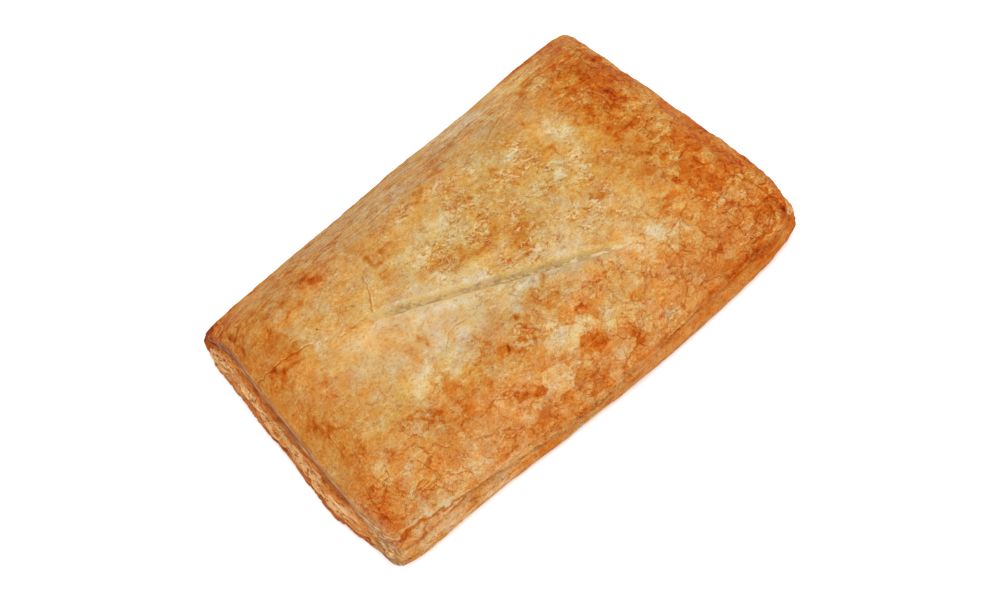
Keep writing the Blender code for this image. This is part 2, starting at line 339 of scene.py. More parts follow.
def end_reach(down, x, y):
    """How far a cut end stands out: lip, crevice, then the layers spreading to the foot."""
    lip = LIP_REACH * (1.0 - (1.0 - np.clip(down / LIP_DOWN, 0.0, 1.0)) ** LIP_ROUNDING)
    uneven = 1.0 + CREVICE_UNEVEN * lattice_noise(x, y, CREVICE_UNEVEN_CELL, "crevice")
    crevice = CREVICE_DEPTH * uneven * bump((down - CREVICE_DOWN) / CREVICE_HALF_HEIGHT)
    cut_layers = CUT_LAYERS_REACH - breaks(y, CUT_BREAKS)
    plain_layers = PLAIN_LAYERS_REACH - breaks(y, PLAIN_BREAKS)
    layers = np.where(x < 0.0, cut_layers, plain_layers)
    fan = np.clip((down - CREVICE_DOWN) / FAN_SPAN, 0.0, 1.0) ** FAN_ROUNDING
    foot = FOOT_DEPTH * smooth_step((down - FOOT_DOWN) / (1.0 - FOOT_DOWN))
    return lip - crevice + (layers - LIP_REACH) * fan - foot


def outward(u, w):
    """Way out of the rim in plan: square to each edge, and slantwise at the corners."""
    return np.stack([np.sign(way) * np.abs(way) ** CORNER_MITRE for way in (u, w)], 1)


def rim_indices():
    """The grid's border points, anticlockwise from the corner at -X, -Y."""
    def index(i, j):
        return i * (ROWS + 1) + j

    near = [index(i, 0) for i in range(COLUMNS)]
    plain = [index(COLUMNS, j) for j in range(ROWS)]
    far = [index(i, ROWS) for i in range(COLUMNS, 0, -1)]
    cut = [index(0, j) for j in range(ROWS, 0, -1)]
    return np.array(near + plain + far + cut)


def side_points(rim, down):
    """The points of the crust at this fraction of the way down, one for each rim station."""
    x, y = rim["place"].T
    reach = mix(fold_reach(down, x, y), end_reach(down, x, y), rim["on_end"])
    wander = lattice_noise(x + EDGE_WANDER_DRIFT * down, y, EDGE_WANDER_CELL, "edge")
    reach = reach + EDGE_WANDER * math.sin(math.pi * down) * wander
    points = rim["place"] + rim["outward"] * reach[:, None]
    return np.column_stack([points, rim["height"] * (1.0 - down)])


# The fine surface. Places and sizes in its tables are in tenths of a millimetre.

TENTHS = 10000.0

# Browned places, in the order x, y, half-length, half-width, turn in degrees, strength
BROWNED = (
    (-560, 375, 60, 22, 15, 0.26), (-530, 335, 32, 20, 65, 0.26), (-680, 375, 50, 9, 5, 0.14),
    (-650, 315, 80, 10, 0, 0.17), (-565, 490, 32, 22, 0, 0.2), (-640, 470, 50, 12, 10, 0.12),
    (-790, 180, 48, 19, -10, 0.36), (-710, 180, 52, 24, -14, 0.17), (-850, 140, 18, 36, 0, 0.16),
    (-838, 375, 18, 32, 0, 0.2), (-770, 275, 26, 30, 0, 0.18), (-730, 260, 10, 30, 10, 0.16),
    (-850, 430, 34, 10, 10, 0.3), (-882, 510, 40, 11, 12, 0.34), (-860, 560, 11, 60, 0, 0.26),
    (-935, 560, 34, 90, 0, 0.34), (-280, 252, 72, 15, -2, 0.28), (-310, 270, 22, 14, 20, 0.16),
    (-302, 190, 26, 22, 0, 0.14), (-330, 145, 18, 22, 60, 0.12), (-285, 125, 24, 16, 0, 0.14),
    (-110, 250, 52, 14, 0, 0.17), (-105, 220, 20, 12, 0, 0.16), (-560, 130, 52, 10, -4, 0.14),
    (-525, 112, 14, 16, 0, 0.16), (-580, 262, 12, 22, 10, 0.14), (-385, -130, 14, 32, 8, 0.26),
    (-350, -78, 24, 12, 0, 0.12), (-850, -68, 36, 14, -35, 0.3), (-812, -120, 32, 12, -10, 0.28),
    (-830, -255, 26, 20, 40, 0.24), (-780, -275, 42, 16, 0, 0.14), (-720, -368, 46, 26, 0, 0.17),
    (-882, -430, 26, 46, 25, 0.08), (-865, -350, 30, 10, 0, 0.12), (-45, 372, 55, 18, 0, 0.2),
    (85, 368, 40, 18, 10, 0.18), (135, 440, 50, 12, 0, 0.2), (550, 432, 42, 14, 0, 0.18),
    (215, 192, 26, 13, -25, 0.34), (275, 130, 28, 24, 0, 0.2), (435, 135, 13, 46, 14, 0.24),
    (450, 288, 16, 10, 0, 0.22), (210, 260, 16, 22, 0, 0.14), (140, -55, 70, 32, -12, 0.32),
    (80, -100, 60, 18, -8, 0.32), (-10, 10, 70, 30, 10, 0.26), (-125, 45, 50, 60, 30, 0.18),
    (170, 80, 18, 40, 0, 0.14), (622, 160, 20, 42, 0, 0.3), (700, 350, 70, 40, 0, 0.12),
    (760, 270, 110, 130, 0, 0.2), (630, -120, 80, 90, 0, 0.14), (835, 340, 50, 60, 0, 0.14),
    (790, 130, 26, 20, 0, 0.2), (720, 450, 50, 40, 0, 0.16), (680, 40, 55, 120, 5, 0.16),
    (620, -160, 50, 60, 0, 0.12), (448, -145, 24, 28, 60, 0.22), (410, -130, 16, 12, 0, 0.2),
    (662, -285, 12, 24, 15, 0.26), (885, -345, 14, 60, 30, 0.14), (860, -480, 50, 11, -45, 0.14),
    (840, -510, 40, 16, -35, 0.12), (790, -520, 60, 40, 0, 0.08), (720, -560, 120, 30, 0, 0.08),
    (620, -550, 60, 20, 0, 0.18), (-400, -345, 100, 40, -4, 0.18), (-460, -380, 40, 40, 0, 0.18),
    (-330, -340, 40, 22, 0, 0.14), (-570, -325, 50, 12, -40, 0.28), (-505, -395, 50, 22, -50, 0.24),
    (-460, -440, 32, 14, -60, 0.2), (-245, -262, 14, 50, 15, 0.22), (-200, -345, 28, 24, 0, 0.28),
    (-165, -235, 20, 14, 30, 0.18), (-85, -285, 24, 10, -20, 0.24), (-95, -345, 16, 38, 0, 0.22),
    (25, -255, 40, 16, 10, 0.22), (-5, -335, 34, 18, 0, 0.22), (65, -400, 50, 24, 20, 0.24),
    (195, -372, 30, 14, 10, 0.28), (205, -410, 36, 10, 0, 0.18), (-225, -470, 68, 34, -14, 0.26),
    (-50, -478, 46, 16, 0, 0.18), (45, -515, 46, 36, 0, 0.2), (350, -500, 140, 40, 0, 0.1),
)

# Pale places, written alike
PALE = (
    (535, 190, 42, 105, 0, 0.2), (-205, 170, 60, 62, 0, 0.14), (-50, 185, 52, 40, 0, 0.1),
    (-300, 60, 100, 50, -20, 0.08), (-480, -210, 80, 65, 0, 0.2), (-395, -265, 70, 36, -10, 0.14),
    (-260, -190, 70, 30, -10, 0.14), (-60, -210, 80, 34, -10, 0.14), (-90, -520, 85, 42, 8, 0.2),
    (40, -450, 120, 18, 5, 0.14), (487, -385, 46, 32, -20, 0.07), (400, -400, 130, 80, -20, 0.05),
    (-470, -60, 250, 130, -20, 0.1), (-180, -20, 260, 150, -25, 0.07), (-410, -240, 110, 60, -10, 0.1),
    (-730, -420, 100, 80, 0, 0.12), (-820, -580, 120, 80, 0, 0.16), (-600, -580, 160, 50, 0, 0.12),
    (820, 60, 80, 70, 0, 0.1), (570, -438, 50, 16, -25, 0.2), (320, -320, 60, 30, -30, 0.1),
    (-690, -225, 38, 30, 0, 0.12), (-780, -80, 20, 16, 0, 0.12), (-600, 60, 120, 60, 0, 0.06),
    (310, 230, 36, 12, -15, 0.2), (375, 30, 18, 18, 0, 0.2), (275, 30, 18, 9, 0, 0.2),
    (280, -95, 100, 22, -8, 0.14), (130, -135, 70, 22, -20, 0.1), (-660, 260, 60, 30, 0, 0.08),
    (700, -440, 80, 14, 5, 0.14), (745, -210, 20, 40, 30, 0.12), (800, -290, 14, 40, 10, 0.14),
    (-880, -190, 30, 40, 0, 0.05),
)

# Broad clouds, written alike: strength adds to the browning, and below zero is paler. The pale clouds at the
# far rim, near y 570, partly paint light onto the far slope, which turns away from the lamps.
CLOUDS = (
    (-750, -580, 180, 100, 0, -0.16), (-500, -550, 200, 80, 0, -0.06), (90, -470, 120, 90, 0, -0.22),
    (500, -360, 140, 100, -20, -0.13), (780, -420, 140, 100, 0, -0.08), (280, -180, 140, 60, -20, -0.1),
    (300, -540, 200, 60, 0, -0.1), (-550, 350, 140, 100, 0, 0.08), (300, 320, 120, 60, 0, 0.07),
    (800, 220, 100, 120, 0, 0.12), (550, -40, 60, 60, 0, 0.08), (-250, -460, 120, 70, 0, -0.14),
    (-680, -400, 100, 100, 0, -0.12), (-880, -300, 60, 100, 0, -0.08), (-660, 170, 100, 60, 0, -0.14),
    (-780, 60, 80, 60, 0, -0.1), (-400, 110, 60, 60, 0, -0.08), (0, 150, 70, 90, 0, -0.13),
    (600, 200, 60, 80, 0, -0.12), (500, 0, 70, 60, 0, -0.09), (700, 300, 60, 60, 0, -0.08),
    (-320, -160, 200, 100, -15, 0.1), (100, 0, 140, 60, 0, 0.07), (0, -300, 60, 60, 0, 0.12),
    (300, -300, 60, 50, 0, 0.18), (300, 570, 120, 80, 0, -0.14), (640, 570, 140, 90, 0, -0.17),
    (-760, -610, 120, 40, 0, -0.18), (-450, -610, 100, 40, 0, -0.14), (800, -610, 100, 40, 0, -0.14),
    (-900, -360, 50, 120, 0, -0.1), (-260, -500, 100, 50, 0, -0.08), (100, -430, 80, 70, 0, -0.08),
    (300, -510, 80, 50, 0, -0.1), (400, 0, 60, 60, 0, -0.13), (-700, -400, 60, 60, 0, -0.06),
    (-650, 20, 110, 80, 0, 0.1), (-300, 0, 70, 60, 0, 0.08), (-500, -200, 80, 60, 0, 0.1),
    (-300, 300, 60, 60, 0, 0.09), (620, 240, 90, 100, 0, 0.1), (900, 250, 50, 100, 0, 0.12),
    (250, 200, 100, 60, 0, 0.08), (560, 0, 70, 60, 0, 0.07), (200, -210, 140, 50, -20, -0.09),
    (-480, -400, 70, 60, 0, -0.06), (-150, -420, 80, 60, 0, -0.04), (300, 530, 100, 80, 0, -0.06),
    (-750, 500, 100, 140, 0, -0.07), (250, -610, 120, 40, 0, -0.08), (-100, -610, 80, 40, 0, -0.08),
    (-800, 200, 50, 60, 0, 0.07), (-500, 200, 60, 50, 0, 0.07), (640, 590, 100, 60, 0, -0.07),
    (900, 500, 50, 60, 0, -0.08), (300, 540, 260, 70, 0, -0.08), (-700, 220, 70, 120, 0, -0.08),
    (-40, 0, 70, 50, 0, 0.1), (760, 120, 100, 90, 0, 0.11), (440, -400, 80, 60, 0, -0.09),
    (500, 200, 50, 50, 0, -0.12), (-340, -400, 90, 60, 0, 0.1), (120, -400, 110, 50, 0, 0.12),
    (600, 500, 70, 80, 0, -0.12), (-700, -300, 60, 60, 0, -0.08), (840, -580, 80, 50, 0, -0.1),
    (-550, 400, 80, 60, 0, 0.06), (-640, -510, 260, 70, 0, -0.05), (880, -200, 80, 160, 0, -0.05),
    (60, 600, 160, 60, 0, -0.05), (-760, 560, 220, 60, 0, -0.03), (500, -410, 70, 50, 0, -0.08),
    (90, -210, 70, 50, -20, -0.08), (660, -560, 90, 60, 0, -0.07), (-500, 400, 140, 60, 0, 0.06),
    (-100, -500, 60, 50, 0, 0.07), (680, -80, 70, 60, 0, -0.07), (920, -600, 60, 50, 0, 0.13),
    (-300, -600, 60, 50, 0, 0.11), (500, -410, 60, 50, 0, -0.04), (0, -600, 120, 40, 0, -0.06),
    (100, 480, 60, 100, 0, 0.07), (-800, 250, 60, 70, 0, 0.05), (-490, -230, 90, 80, 0, 0.06),
    (-400, -600, 60, 40, 0, -0.08), (-740, -500, 80, 50, 0, -0.06), (700, -100, 80, 60, 0, -0.05),
    (800, -400, 60, 60, 0, -0.07), (600, -500, 60, 50, 0, -0.07), (500, -400, 60, 50, 0, -0.06),
    (380, 150, 130, 100, 0, 0.06), (-380, -500, 180, 50, 0, -0.06), (-780, -600, 120, 40, 0, -0.08),
    (920, -600, 50, 50, 0, 0.09), (0, 600, 60, 60, 0, -0.07),
)

# Chalky, greyish places, written alike
CHALKY = (
    (-240, -170, 280, 100, -12, 0.75), (-100, -160, 100, 40, -20, 0.4), (-450, -50, 300, 120, -20, 0.35),
    (-200, -60, 160, 60, -24, 0.3), (120, -240, 120, 60, -10, 0.35), (430, -150, 60, 30, -30, 0.5),
    (350, 350, 170, 80, 0, 0.45), (-100, 200, 160, 110, 0, 0.35), (-560, -100, 120, 110, 0, 0.25),
    (-130, -240, 260, 100, -12, 0.3), (320, 300, 360, 180, 0, 0.22), (-450, 300, 320, 160, 0, 0.16),
    (-620, 50, 240, 150, 0, 0.12), (487, -380, 50, 35, 0, 0.4), (-740, -20, 140, 160, 0, 0.28),
    (-770, 380, 110, 140, 0, 0.3), (-620, -400, 140, 80, 0, 0.28), (-800, -500, 80, 60, 0, 0.25),
    (-420, 360, 160, 90, 0, 0.18),
)

# Where the sheet has puffed into fine glossy wrinkles, written alike
WRINKLED = (
    (180, 50, 340, 240, 0, 0.9), (20, 20, 180, 120, 0, 0.4), (-180, -300, 180, 110, 0, 0.32),
    (100, -370, 200, 60, 0, 0.25), (300, -180, 200, 80, -20, 0.4), (-50, 350, 300, 50, 0, 0.22),
)

# Browning of the whole crust, from 0, pale cream, to 1, dark brown
BAKE_MIDDLE = 0.36
BAKE_BY_SIDE = 0.16
BAKE_SIDE_WIDTH = 0.022
BAKE_BY_END = 0.20
BAKE_END_WIDTH = 0.028
PATCH_SQUARENESS = 1.25

# Cracks, which sink, and ridges, which rise: how dark, which is partly painted shade, half-width, rise, then
# the line's points
CRACKS = (
    (0.3, 4, -3, ((-385, 222), (-405, 165), (-438, 98))),
    (0.36, 3.5, -3, ((-895, 230), (-850, 216), (-825, 204), (-785, 196), (-740, 178), (-668, 162))),
    (0.16, 3, -1.5, ((-640, 115), (-560, 100), (-440, 98))),
    (0.3, 4.5, -2, ((-872, 420), (-840, 428), (-828, 445), (-832, 460))),
    (0.34, 5, -2, ((-912, 505), (-880, 505), (-862, 520), (-858, 590))),
    (0.2, 4, 2.5, ((-338, -195), (-305, -165), (-262, -156), (-222, -170))),
    (0.26, 5, 4, ((600, 275), (660, 278), (705, 240), (724, 185), (722, 130))),
    (0.16, 4, 3, ((670, 200), (690, 160), (680, 120))),
    (0.2, 6, -3.5, ((925, -270), (900, -330), (878, -390), (855, -415))),
    (0.2, 5, 4, ((950, -330), (930, -400), (900, -440), (860, -450))),
    (0.3, 5, -3, ((840, -440), (870, -480), (890, -530), (900, -570))),
    (0.24, 4, -2, ((690, -445), (720, -425), (735, -440))),
    (0.26, 4, -2, ((-902, -370), (-890, -420), (-862, -465), (-855, -500))),
    (0.36, 5, -2.5, ((-918, -490), (-900, -530), (-865, -548), (-790, -550))),
    (0.22, 3.5, -1.5, ((-800, -445), (-770, -470), (-760, -500))),
    (0.26, 3.5, -1.5, ((-660, -495), (-610, -500), (-582, -522), (-550, -542))),
    (0.22, 3.5, -1.5, ((-470, -485), (-420, -505), (-370, -525), (-330, -550))),
    (0.2, 3.5, -1.5, ((-400, -445), (-340, -440), (-290, -465))),
    (0.24, 3.5, -1.5, ((-832, -130), (-828, -180), (-835, -230))),
    (0.2, 3.5, -1, ((-800, -400), (-780, -420), (-765, -445))),
    (0.22, 4, -1.5, ((-140, -390), (-200, -405), (-250, -400))),
    (0.18, 3, 2, ((330, 90), (370, 130), (400, 170))),
    (0.16, 3, 2, ((420, 60), (445, 90), (450, 130))),
    (0.2, 4, -1.5, ((480, 405), (400, 400), (300, 350), (210, 345))),
    (0.2, 7, 3, ((687, 372), (740, 383), (791, 384), (845, 412), (900, 360), (919, 300))),
    (0.28, 10, -2, ((740, 419), (783, 415), (850, 450), (888, 436))),
    (0.28, 7.5, 3, ((630, 285), (652, 269), (686, 267), (709, 242), (724, 205), (724, 150))),
    (0.26, 3.5, -1.5, ((695, 117), (700, 85), (697, 55))),
    (0.34, 5, -3, ((855, -290), (902, -322), (917, -344), (873, -403))),
    (0.24, 4, -2, ((848, -325), (819, -372), (832, -408))),
    (0.26, 4.5, 3, ((870, -425), (911, -431), (950, -425))),
    (0.34, 5, -3, ((863, -475), (894, -497), (880, -527), (890, -568))),
    (0.36, 6, -3, ((857, -550), (851, -579), (829, -593), (796, -598), (755, -596), (720, -595))),
    (0.24, 3.5, -1.5, ((-780, -498), (-747, -490), (-688, -498), (-651, -491), (-618, -503), (-597, -515),
                       (-563, -532))),
    (0.24, 3.5, -1.5, ((-797, -390), (-784, -423), (-768, -444), (-751, -473))),
    (0.34, 5.5, -1.5, ((-743, -482), (-713, -478), (-693, -473))),
    (0.24, 3.5, -1.5, ((-663, -423), (-651, -453), (-634, -474))),
    (0.22, 3.5, -1.5, ((-580, -423), (-563, -448), (-540, -455))),
    (0.26, 3.5, -1.5, ((-468, -486), (-447, -503), (-422, -507), (-397, -528), (-376, -548),
                       (-355, -553))),
    (0.24, 3.5, -1.5, ((-393, -448), (-368, -448), (-343, -444), (-322, -448))),
    (0.2, 3.5, -1.5, ((-451, -398), (-455, -420), (-451, -448))),
    (0.4, 6, -2, ((-865, -540), (-800, -545), (-730, -560), (-660, -566), (-600, -575))),
)
CRACK_END_FADE = 0.0022
CRACK_SOFTNESS = 1.3

# Further than this many half-widths from a line or border, its look has ended
FAR_AWAY = 9.0

# Leaves and patches of the top sheet with a crisp, ragged border: how much browner than the
# crust each is, and its outline
LEAVES = (
    (-0.14, ((-181, -494), (-163, -478), (-133, -473), (-104, -486), (-83, -498), (-50, -507), (-30, -510),
             (-50, -528), (-67, -540), (-92, -553), (-125, -560), (-163, -565), (-200, -557), (-238, -544),
             (-258, -528), (-250, -517), (-217, -519), (-188, -517))),
    (-0.12, ((-96, -411), (-67, -403), (-33, -398), (-8, -407), (17, -423), (42, -432), (63, -457),
             (75, -473), (46, -478), (17, -473), (-8, -482), (-33, -486), (-54, -473), (-92, -469),
             (-100, -448), (-92, -432))),
    (0.16, ((-8, -486), (17, -476), (42, -482), (75, -478), (85, -490), (79, -515), (77, -532), (54, -540),
            (33, -532), (8, -519), (-8, -507))),
    (0.15, ((-283, -473), (-254, -469), (-225, -482), (-204, -494), (-179, -496), (-185, -515),
            (-208, -519), (-238, -515), (-258, -503), (-279, -498))),
    (-0.08, ((88, -498), (108, -490), (142, -494), (150, -511), (133, -528), (113, -536), (92, -528))),
    (-0.08, ((75, -561), (100, -559), (142, -557), (163, -561), (169, -582), (150, -594), (108, -596),
             (75, -590), (63, -573))),
    (-0.1, ((196, -553), (217, -546), (246, -548), (258, -561), (263, -578), (242, -586), (217, -590),
            (198, -582), (192, -565))),
    (-0.08, ((270, -582), (300, -582), (342, -582), (367, -586), (375, -598), (342, -607), (292, -603),
             (271, -594))),
    (-0.06, ((154, -511), (196, -503), (225, -515), (238, -523), (213, -536), (192, -548), (167, -548),
             (150, -528))),
    (0.15, ((75, -386), (96, -390), (102, -411), (88, -428), (71, -428), (58, -415), (67, -403))),
    (0.14, ((171, -361), (192, -357), (217, -361), (242, -365), (233, -375), (208, -373), (192, -380),
            (175, -373))),
    (-0.1, ((-75, -390), (-50, -382), (-25, -371), (-8, -361), (0, -373), (-4, -392), (-29, -392),
            (-58, -398))),
    (0.1, ((-100, -475), (-67, -478), (-50, -486), (-33, -498), (-67, -496), (-92, -486))),
    (0.17, ((-217, -365), (-196, -340), (-179, -332), (-183, -353), (-200, -367), (-217, -369))),
    (0.12, ((-102, -306), (-92, -327), (-94, -373), (-98, -394), (-110, -396), (-104, -370),
            (-102, -330))),
    (0.13, ((-96, -269), (-75, -282), (-71, -294), (-92, -294))),
    (0.12, ((-8, -253), (17, -253), (8, -273), (-2, -278))),
    (0.08, ((17, -340), (25, -307), (50, -294), (67, -303), (63, -332), (46, -344))),
    (0.12, ((171, -557), (188, -553), (188, -573), (194, -594), (173, -596), (173, -578))),
    (0.12, ((-63, -573), (-33, -561), (-8, -569), (17, -573), (21, -594), (-8, -603), (-42, -594))),
    (0.1, ((-900, -386), (-876, -407), (-859, -432), (-851, -469), (-859, -494), (-880, -486),
           (-893, -465), (-900, -432))),
    (0.08, ((-749, -361), (-722, -361), (-701, -373), (-705, -386), (-726, -382), (-747, -373))),
    (0.16, ((-601, -303), (-584, -307), (-563, -328), (-547, -344), (-526, -361), (-509, -378),
            (-511, -398), (-522, -394), (-526, -373), (-547, -361), (-568, -344), (-593, -319))),
    (0.12, ((-538, -319), (-518, -319), (-497, -340), (-480, -373), (-493, -386), (-505, -369),
            (-530, -344))),
    (0.08, ((-801, -257), (-763, -257), (-761, -286), (-784, -286), (-797, -278))),
    (0.12, ((-846, -205), (-813, -213), (-815, -226), (-838, -220))),
    (0.2, ((648, -262), (675, -271), (671, -289), (657, -298))),
    (0.08, ((548, -348), (584, -368), (605, -380), (553, -385))),
    (0.05, ((816, -362), (844, -335), (875, -362), (871, -403), (830, -407), (816, -385))),
)
LEAF_OUTLINE_WIDTH = 0.0004

# The reddish sheet bared at the plain end: its ragged border, and how far it lies below
SHEET_BORDER = (
    (1000, 160), (914, 69), (840, 18), (832, -12), (866, -26), (850, -60), (792, -116), (770, -148),
    (728, -166), (762, -200), (725, -225), (700, -262), (655, -280), (692, -300), (674, -340), (664, -385),
    (690, -432), (760, -426), (830, -412), (900, -400), (960, -380),
)
SHEET_STEP = 0.00022
SHEET_SOFTNESS = 0.0005

# Thin leaves of the top sheet: where the leaf noise passes a level, a leaf ends
LEAF_LEVELS = (-0.9, -0.1, 0.7)
LEAF_STEP = 0.00013
LEAF_GROOVE = 0.00014
LEAF_SOFTNESS = 0.12

# Heights of the wrinkles, of the ripples and of the sides' streaks
WRINKLE_HEIGHT = 0.00032
RIPPLE_HEIGHT = 0.00012
STREAK_HEIGHT = 0.00022

# The purplish lines on the lip of the cut end and under it: how far down, half-height, strength. The upper
# one, on the lip's edge, is partly a painted highlight; the lower one, in the crevice under the lip, is
# partly painted shade.
LIP_LINES = ((0.150, 0.085, 1.0), (0.400, 0.045, 0.9))

# Along the slit's seam, in the order x, half-length, how grey, how white
SEAM_PARTS = (
    (-440, 35, 0.6, 0.3), (-360, 40, 0.9, 0.2), (-290, 50, 0.9, 0.3), (-220, 40, 0.8, 0.3),
    (-130, 50, 0.8, 0.4), (-40, 50, 0.8, 0.4), (40, 50, 0.7, 0.6), (120, 45, 0.8, 0.5),
    (210, 55, 0.1, 1.0), (280, 30, 0.6, 0.6), (340, 40, 0.2, 0.9),
)

# Where the crust is smooth and evenly pale: x, y, half-length, half-width, turn, strength
CALM = (
    (-480, -40, 300, 150, -20, 0.9), (-180, -120, 260, 110, -25, 0.8), (-640, 260, 160, 80, 0, 0.4),
    (300, -330, 160, 60, -25, 0.5), (450, 180, 180, 160, 0, 0.4),
)

# Fine lines run along the near corner of the cut end, on the crust that folds down there
STRIATED = ((-930, -490, 42, 120, 5, 1.0),)

# Where the near side's crease is reddened: x and half-length, then how high its line is
CREASE_PARTS = ((-640, 170), (300, 160), (620, 240))
CREASE_LINE = 0.060

# The cut ends' core lies this far behind the layers, which stand in front of it
CORE_RECESS = 0.0018

# Where looks begin or end on the way along X or Y, and how far they take to
LOW_Y = (-0.018, 0.022)
RIGHT_X = (0.050, 0.020)
FLAKY_RIGHT_X = (0.057, 0.016)
FLAKY_LEFT_X = (-0.028, 0.020)
TANNED_X = (-0.010, 0.030)
PALE_END_X = (0.074, 0.012)
ORANGE_END_X = (0.074, 0.010)
SLOPE_SHEEN_FROM_X = (-0.09, 0.06)
SLOPE_SHEEN_TO_X = (0.030, 0.020)
CREAM_Y = (-0.036, 0.012)
CREAM_REACH = (0.066, 0.030)
TORN_X = (0.012, 0.006)
TORN_GAP = (-0.0010, 0.0006)

# The same in from the rim, and as shares of the way down
FAR_SLOPE = (0.026, 0.014)
NEAR_SLOPE = (0.020, 0.016)
TOP_DOWN = (0.0, 0.15)
SHEET_DOWN = (0.15, 0.15)
LEAFY_DOWN = (0.35, 0.2)
CORE_DOWN = (0.37, 0.08)
LOWER_SIDE_DOWN = (0.45, 0.15)
STRIATED_DOWN = (0.80, 0.15)

# Bands: the middle and the reach of each along X or Y, or across the slit
SLOPE_SHEEN_BAND_X = (-0.005, 0.040)
CREAM_MIDDLE_X = -0.010
ORANGE_CUT_X = (-0.098, 0.010)
ORANGE_PLAIN_Y = (0.0, 0.060)
CHALKY_GAP = (0.0, 0.0085)
NEAR_LIP_GAP = (-0.0028, 0.0012)
FAR_LIP_GAP = (0.0027, 0.0016)
BELOW_SLIT_GAP = (-0.0042, 0.0014)
BELOW_SLIT_X = (-0.010, 0.024)
CREASE_BAND = (CREASE_DOWN, CREASE_HALF_HEIGHT)
CREVICE_BAND = (CREVICE_DOWN, CREVICE_HALF_HEIGHT)

# Noises of the fields and of the ripples: how large their features are, octaves and shift
FIELD_NOISES = {
    "mottled": (0.0045, 2, 61.0),
    "cloud": (0.016, 2, 13.0),
    "mottle": (0.0055, 4, 23.0),
    "wrinkled": (0.010, 2, 29.0),
    "ridged": (0.0048, 2, 41.0),
    "leaf": (0.0115, 3, 59.0),
    "vein": ((0.0170, 0.0100, 0.0100), 4, 71.0),
    "leafy": (0.013, 2, 73.0),
    "streak": ((0.022, 0.0034, 0.0018), 3, 79.0),
    "orange": (0.02, 2, 83.0),
    "rosy": (0.014, 2, 89.0),
    "grey_and_sheen": (0.012, 2, 97.0),
    "olive": (0.012, 2, 101.0),
    "ripple": (0.0038, 3, 107.0),
}

# Moves of the places at which looks are found: how large their features are, reach and shift
WARPS = {
    "patches": (0.006, 0.0018, 3.0),
    "mottle": (0.006, 0.0015, 17.0),
    "cracks": (0.0028, 0.00028, 31.0),
    "ridged": (0.0040, 0.0013, 37.0),
    "sheet": (0.0024, 0.0006, 47.0),
    "leaf": (0.009, 0.0022, 53.0),
    "vein": (0.005, 0.0014, 67.0),
    "ripple": (0.004, 0.001, 103.0),
    "leaves": (0.0030, 0.00045, 113.0),
}

# Soft ovals on the top, in the tables' units: x, y, half-length, half-width. The first two have
# fewer leaves, the third has flakes, the next two an orange cast, and the last two an olive one.
FEW_LEAVES_NEAR = (-150, -400, 450, 220)
FEW_LEAVES_RIGHT = (420, 180, 220, 220)
FLAKY_CORNER = (780, 480, 300, 300)
TOP_CORNER = (800, 400, 260, 260)
FAR_EAR = (-920, 520, 160, 240)
OLIVE_MIDDLE = (180, 120, 460, 240)
OLIVE_NEAR = (-130, -205, 160, 80)
SQUARE_OVAL = 1.5

# Fields that shape the relief alone, and aren't shown
RELIEF_ONLY = ("ridge", "crack_rise")


def fractal(points, cell, octaves, shift=0.0):
    """Fractal noise with a spread of about one, and features about one cell across."""
    places = (points / np.array(cell) + shift).tolist()
    return np.array([noise.fractal(place, 1.0, 2.0, octaves) for place in places]) / NOISE_SPREAD


def field_noise(points, name):
    return fractal(points, *FIELD_NOISES[name])


def warped(points, name):
    """The points, each moved by smooth noise."""
    cell, reach, shift = WARPS[name]
    moves = [fractal(points, cell, 2, shift + 7.7 * axis) for axis in range(3)]
    return points + reach * np.stack(moves, 1)


def past(value, ramp):
    """0 until the ramp's start, and 1 when the ramp is past."""
    start, length = ramp
    return smooth_step((value - start) / length)


def until(value, ramp):
    """0 from the ramp's end on, and 1 a ramp's length before it."""
    end, length = ramp
    return smooth_step((end - value) / length)


def about(value, band):
    """1 in the middle of a band, easing off past its reach."""
    middle, reach = band
    return bump((value - middle) / reach)


def oval(x, y, place, turn=0.0, squareness=1.0):
    """1 at the middle of a soft oval, easing off past its half-length and half-width."""
    place_x, place_y, half_length, half_width = (size / TENTHS for size in place)
    c, s = math.cos(math.radians(turn)), math.sin(math.radians(turn))
    along = ((x - place_x) * c + (y - place_y) * s) / half_length
    across = ((y - place_y) * c - (x - place_x) * s) / half_width
    return bump(np.hypot(along, across) ** squareness)


def patches(points, places):
    """The sum of a table's soft ovals at the points."""
    x, y = points[:, 0], points[:, 1]
    ovals = (strength * oval(x, y, place, turn, PATCH_SQUARENESS) for *place, turn, strength in places)
    return sum(ovals)


def in_metres(line):
    return [(x / TENTHS, y / TENTHS) for x, y in line]


def along_line(x, y, line):
    """Signed distance from a line of points, and whether a point lies beside it, 0 to 1."""
    nearest = np.full(len(x), np.inf)
    signed = np.zeros(len(x))
    beside = np.zeros(len(x))
    last = len(line) - 2
    for number, (start, end) in enumerate(zip(line[:-1], line[1:])):
        run_x, run_y = end[0] - start[0], end[1] - start[1]
        length = math.hypot(run_x, run_y)
        t = ((x - start[0]) * run_x + (y - start[1]) * run_y) / length**2
        held = np.clip(t, 0.0, 1.0)
        gap = np.hypot(x - start[0] - held * run_x, y - start[1] - held * run_y)
        side = np.sign(run_x * (y - start[1]) - run_y * (x - start[0]))
        over = np.maximum(0.0 if number else -t, 0.0 if number < last else t - 1.0) * length
        closer = gap < nearest
        nearest = np.where(closer, gap, nearest)
        signed = np.where(closer, side * gap, signed)
        beside = np.where(closer, 1.0 - smooth_step(over / CRACK_END_FADE), beside)
    return signed, beside


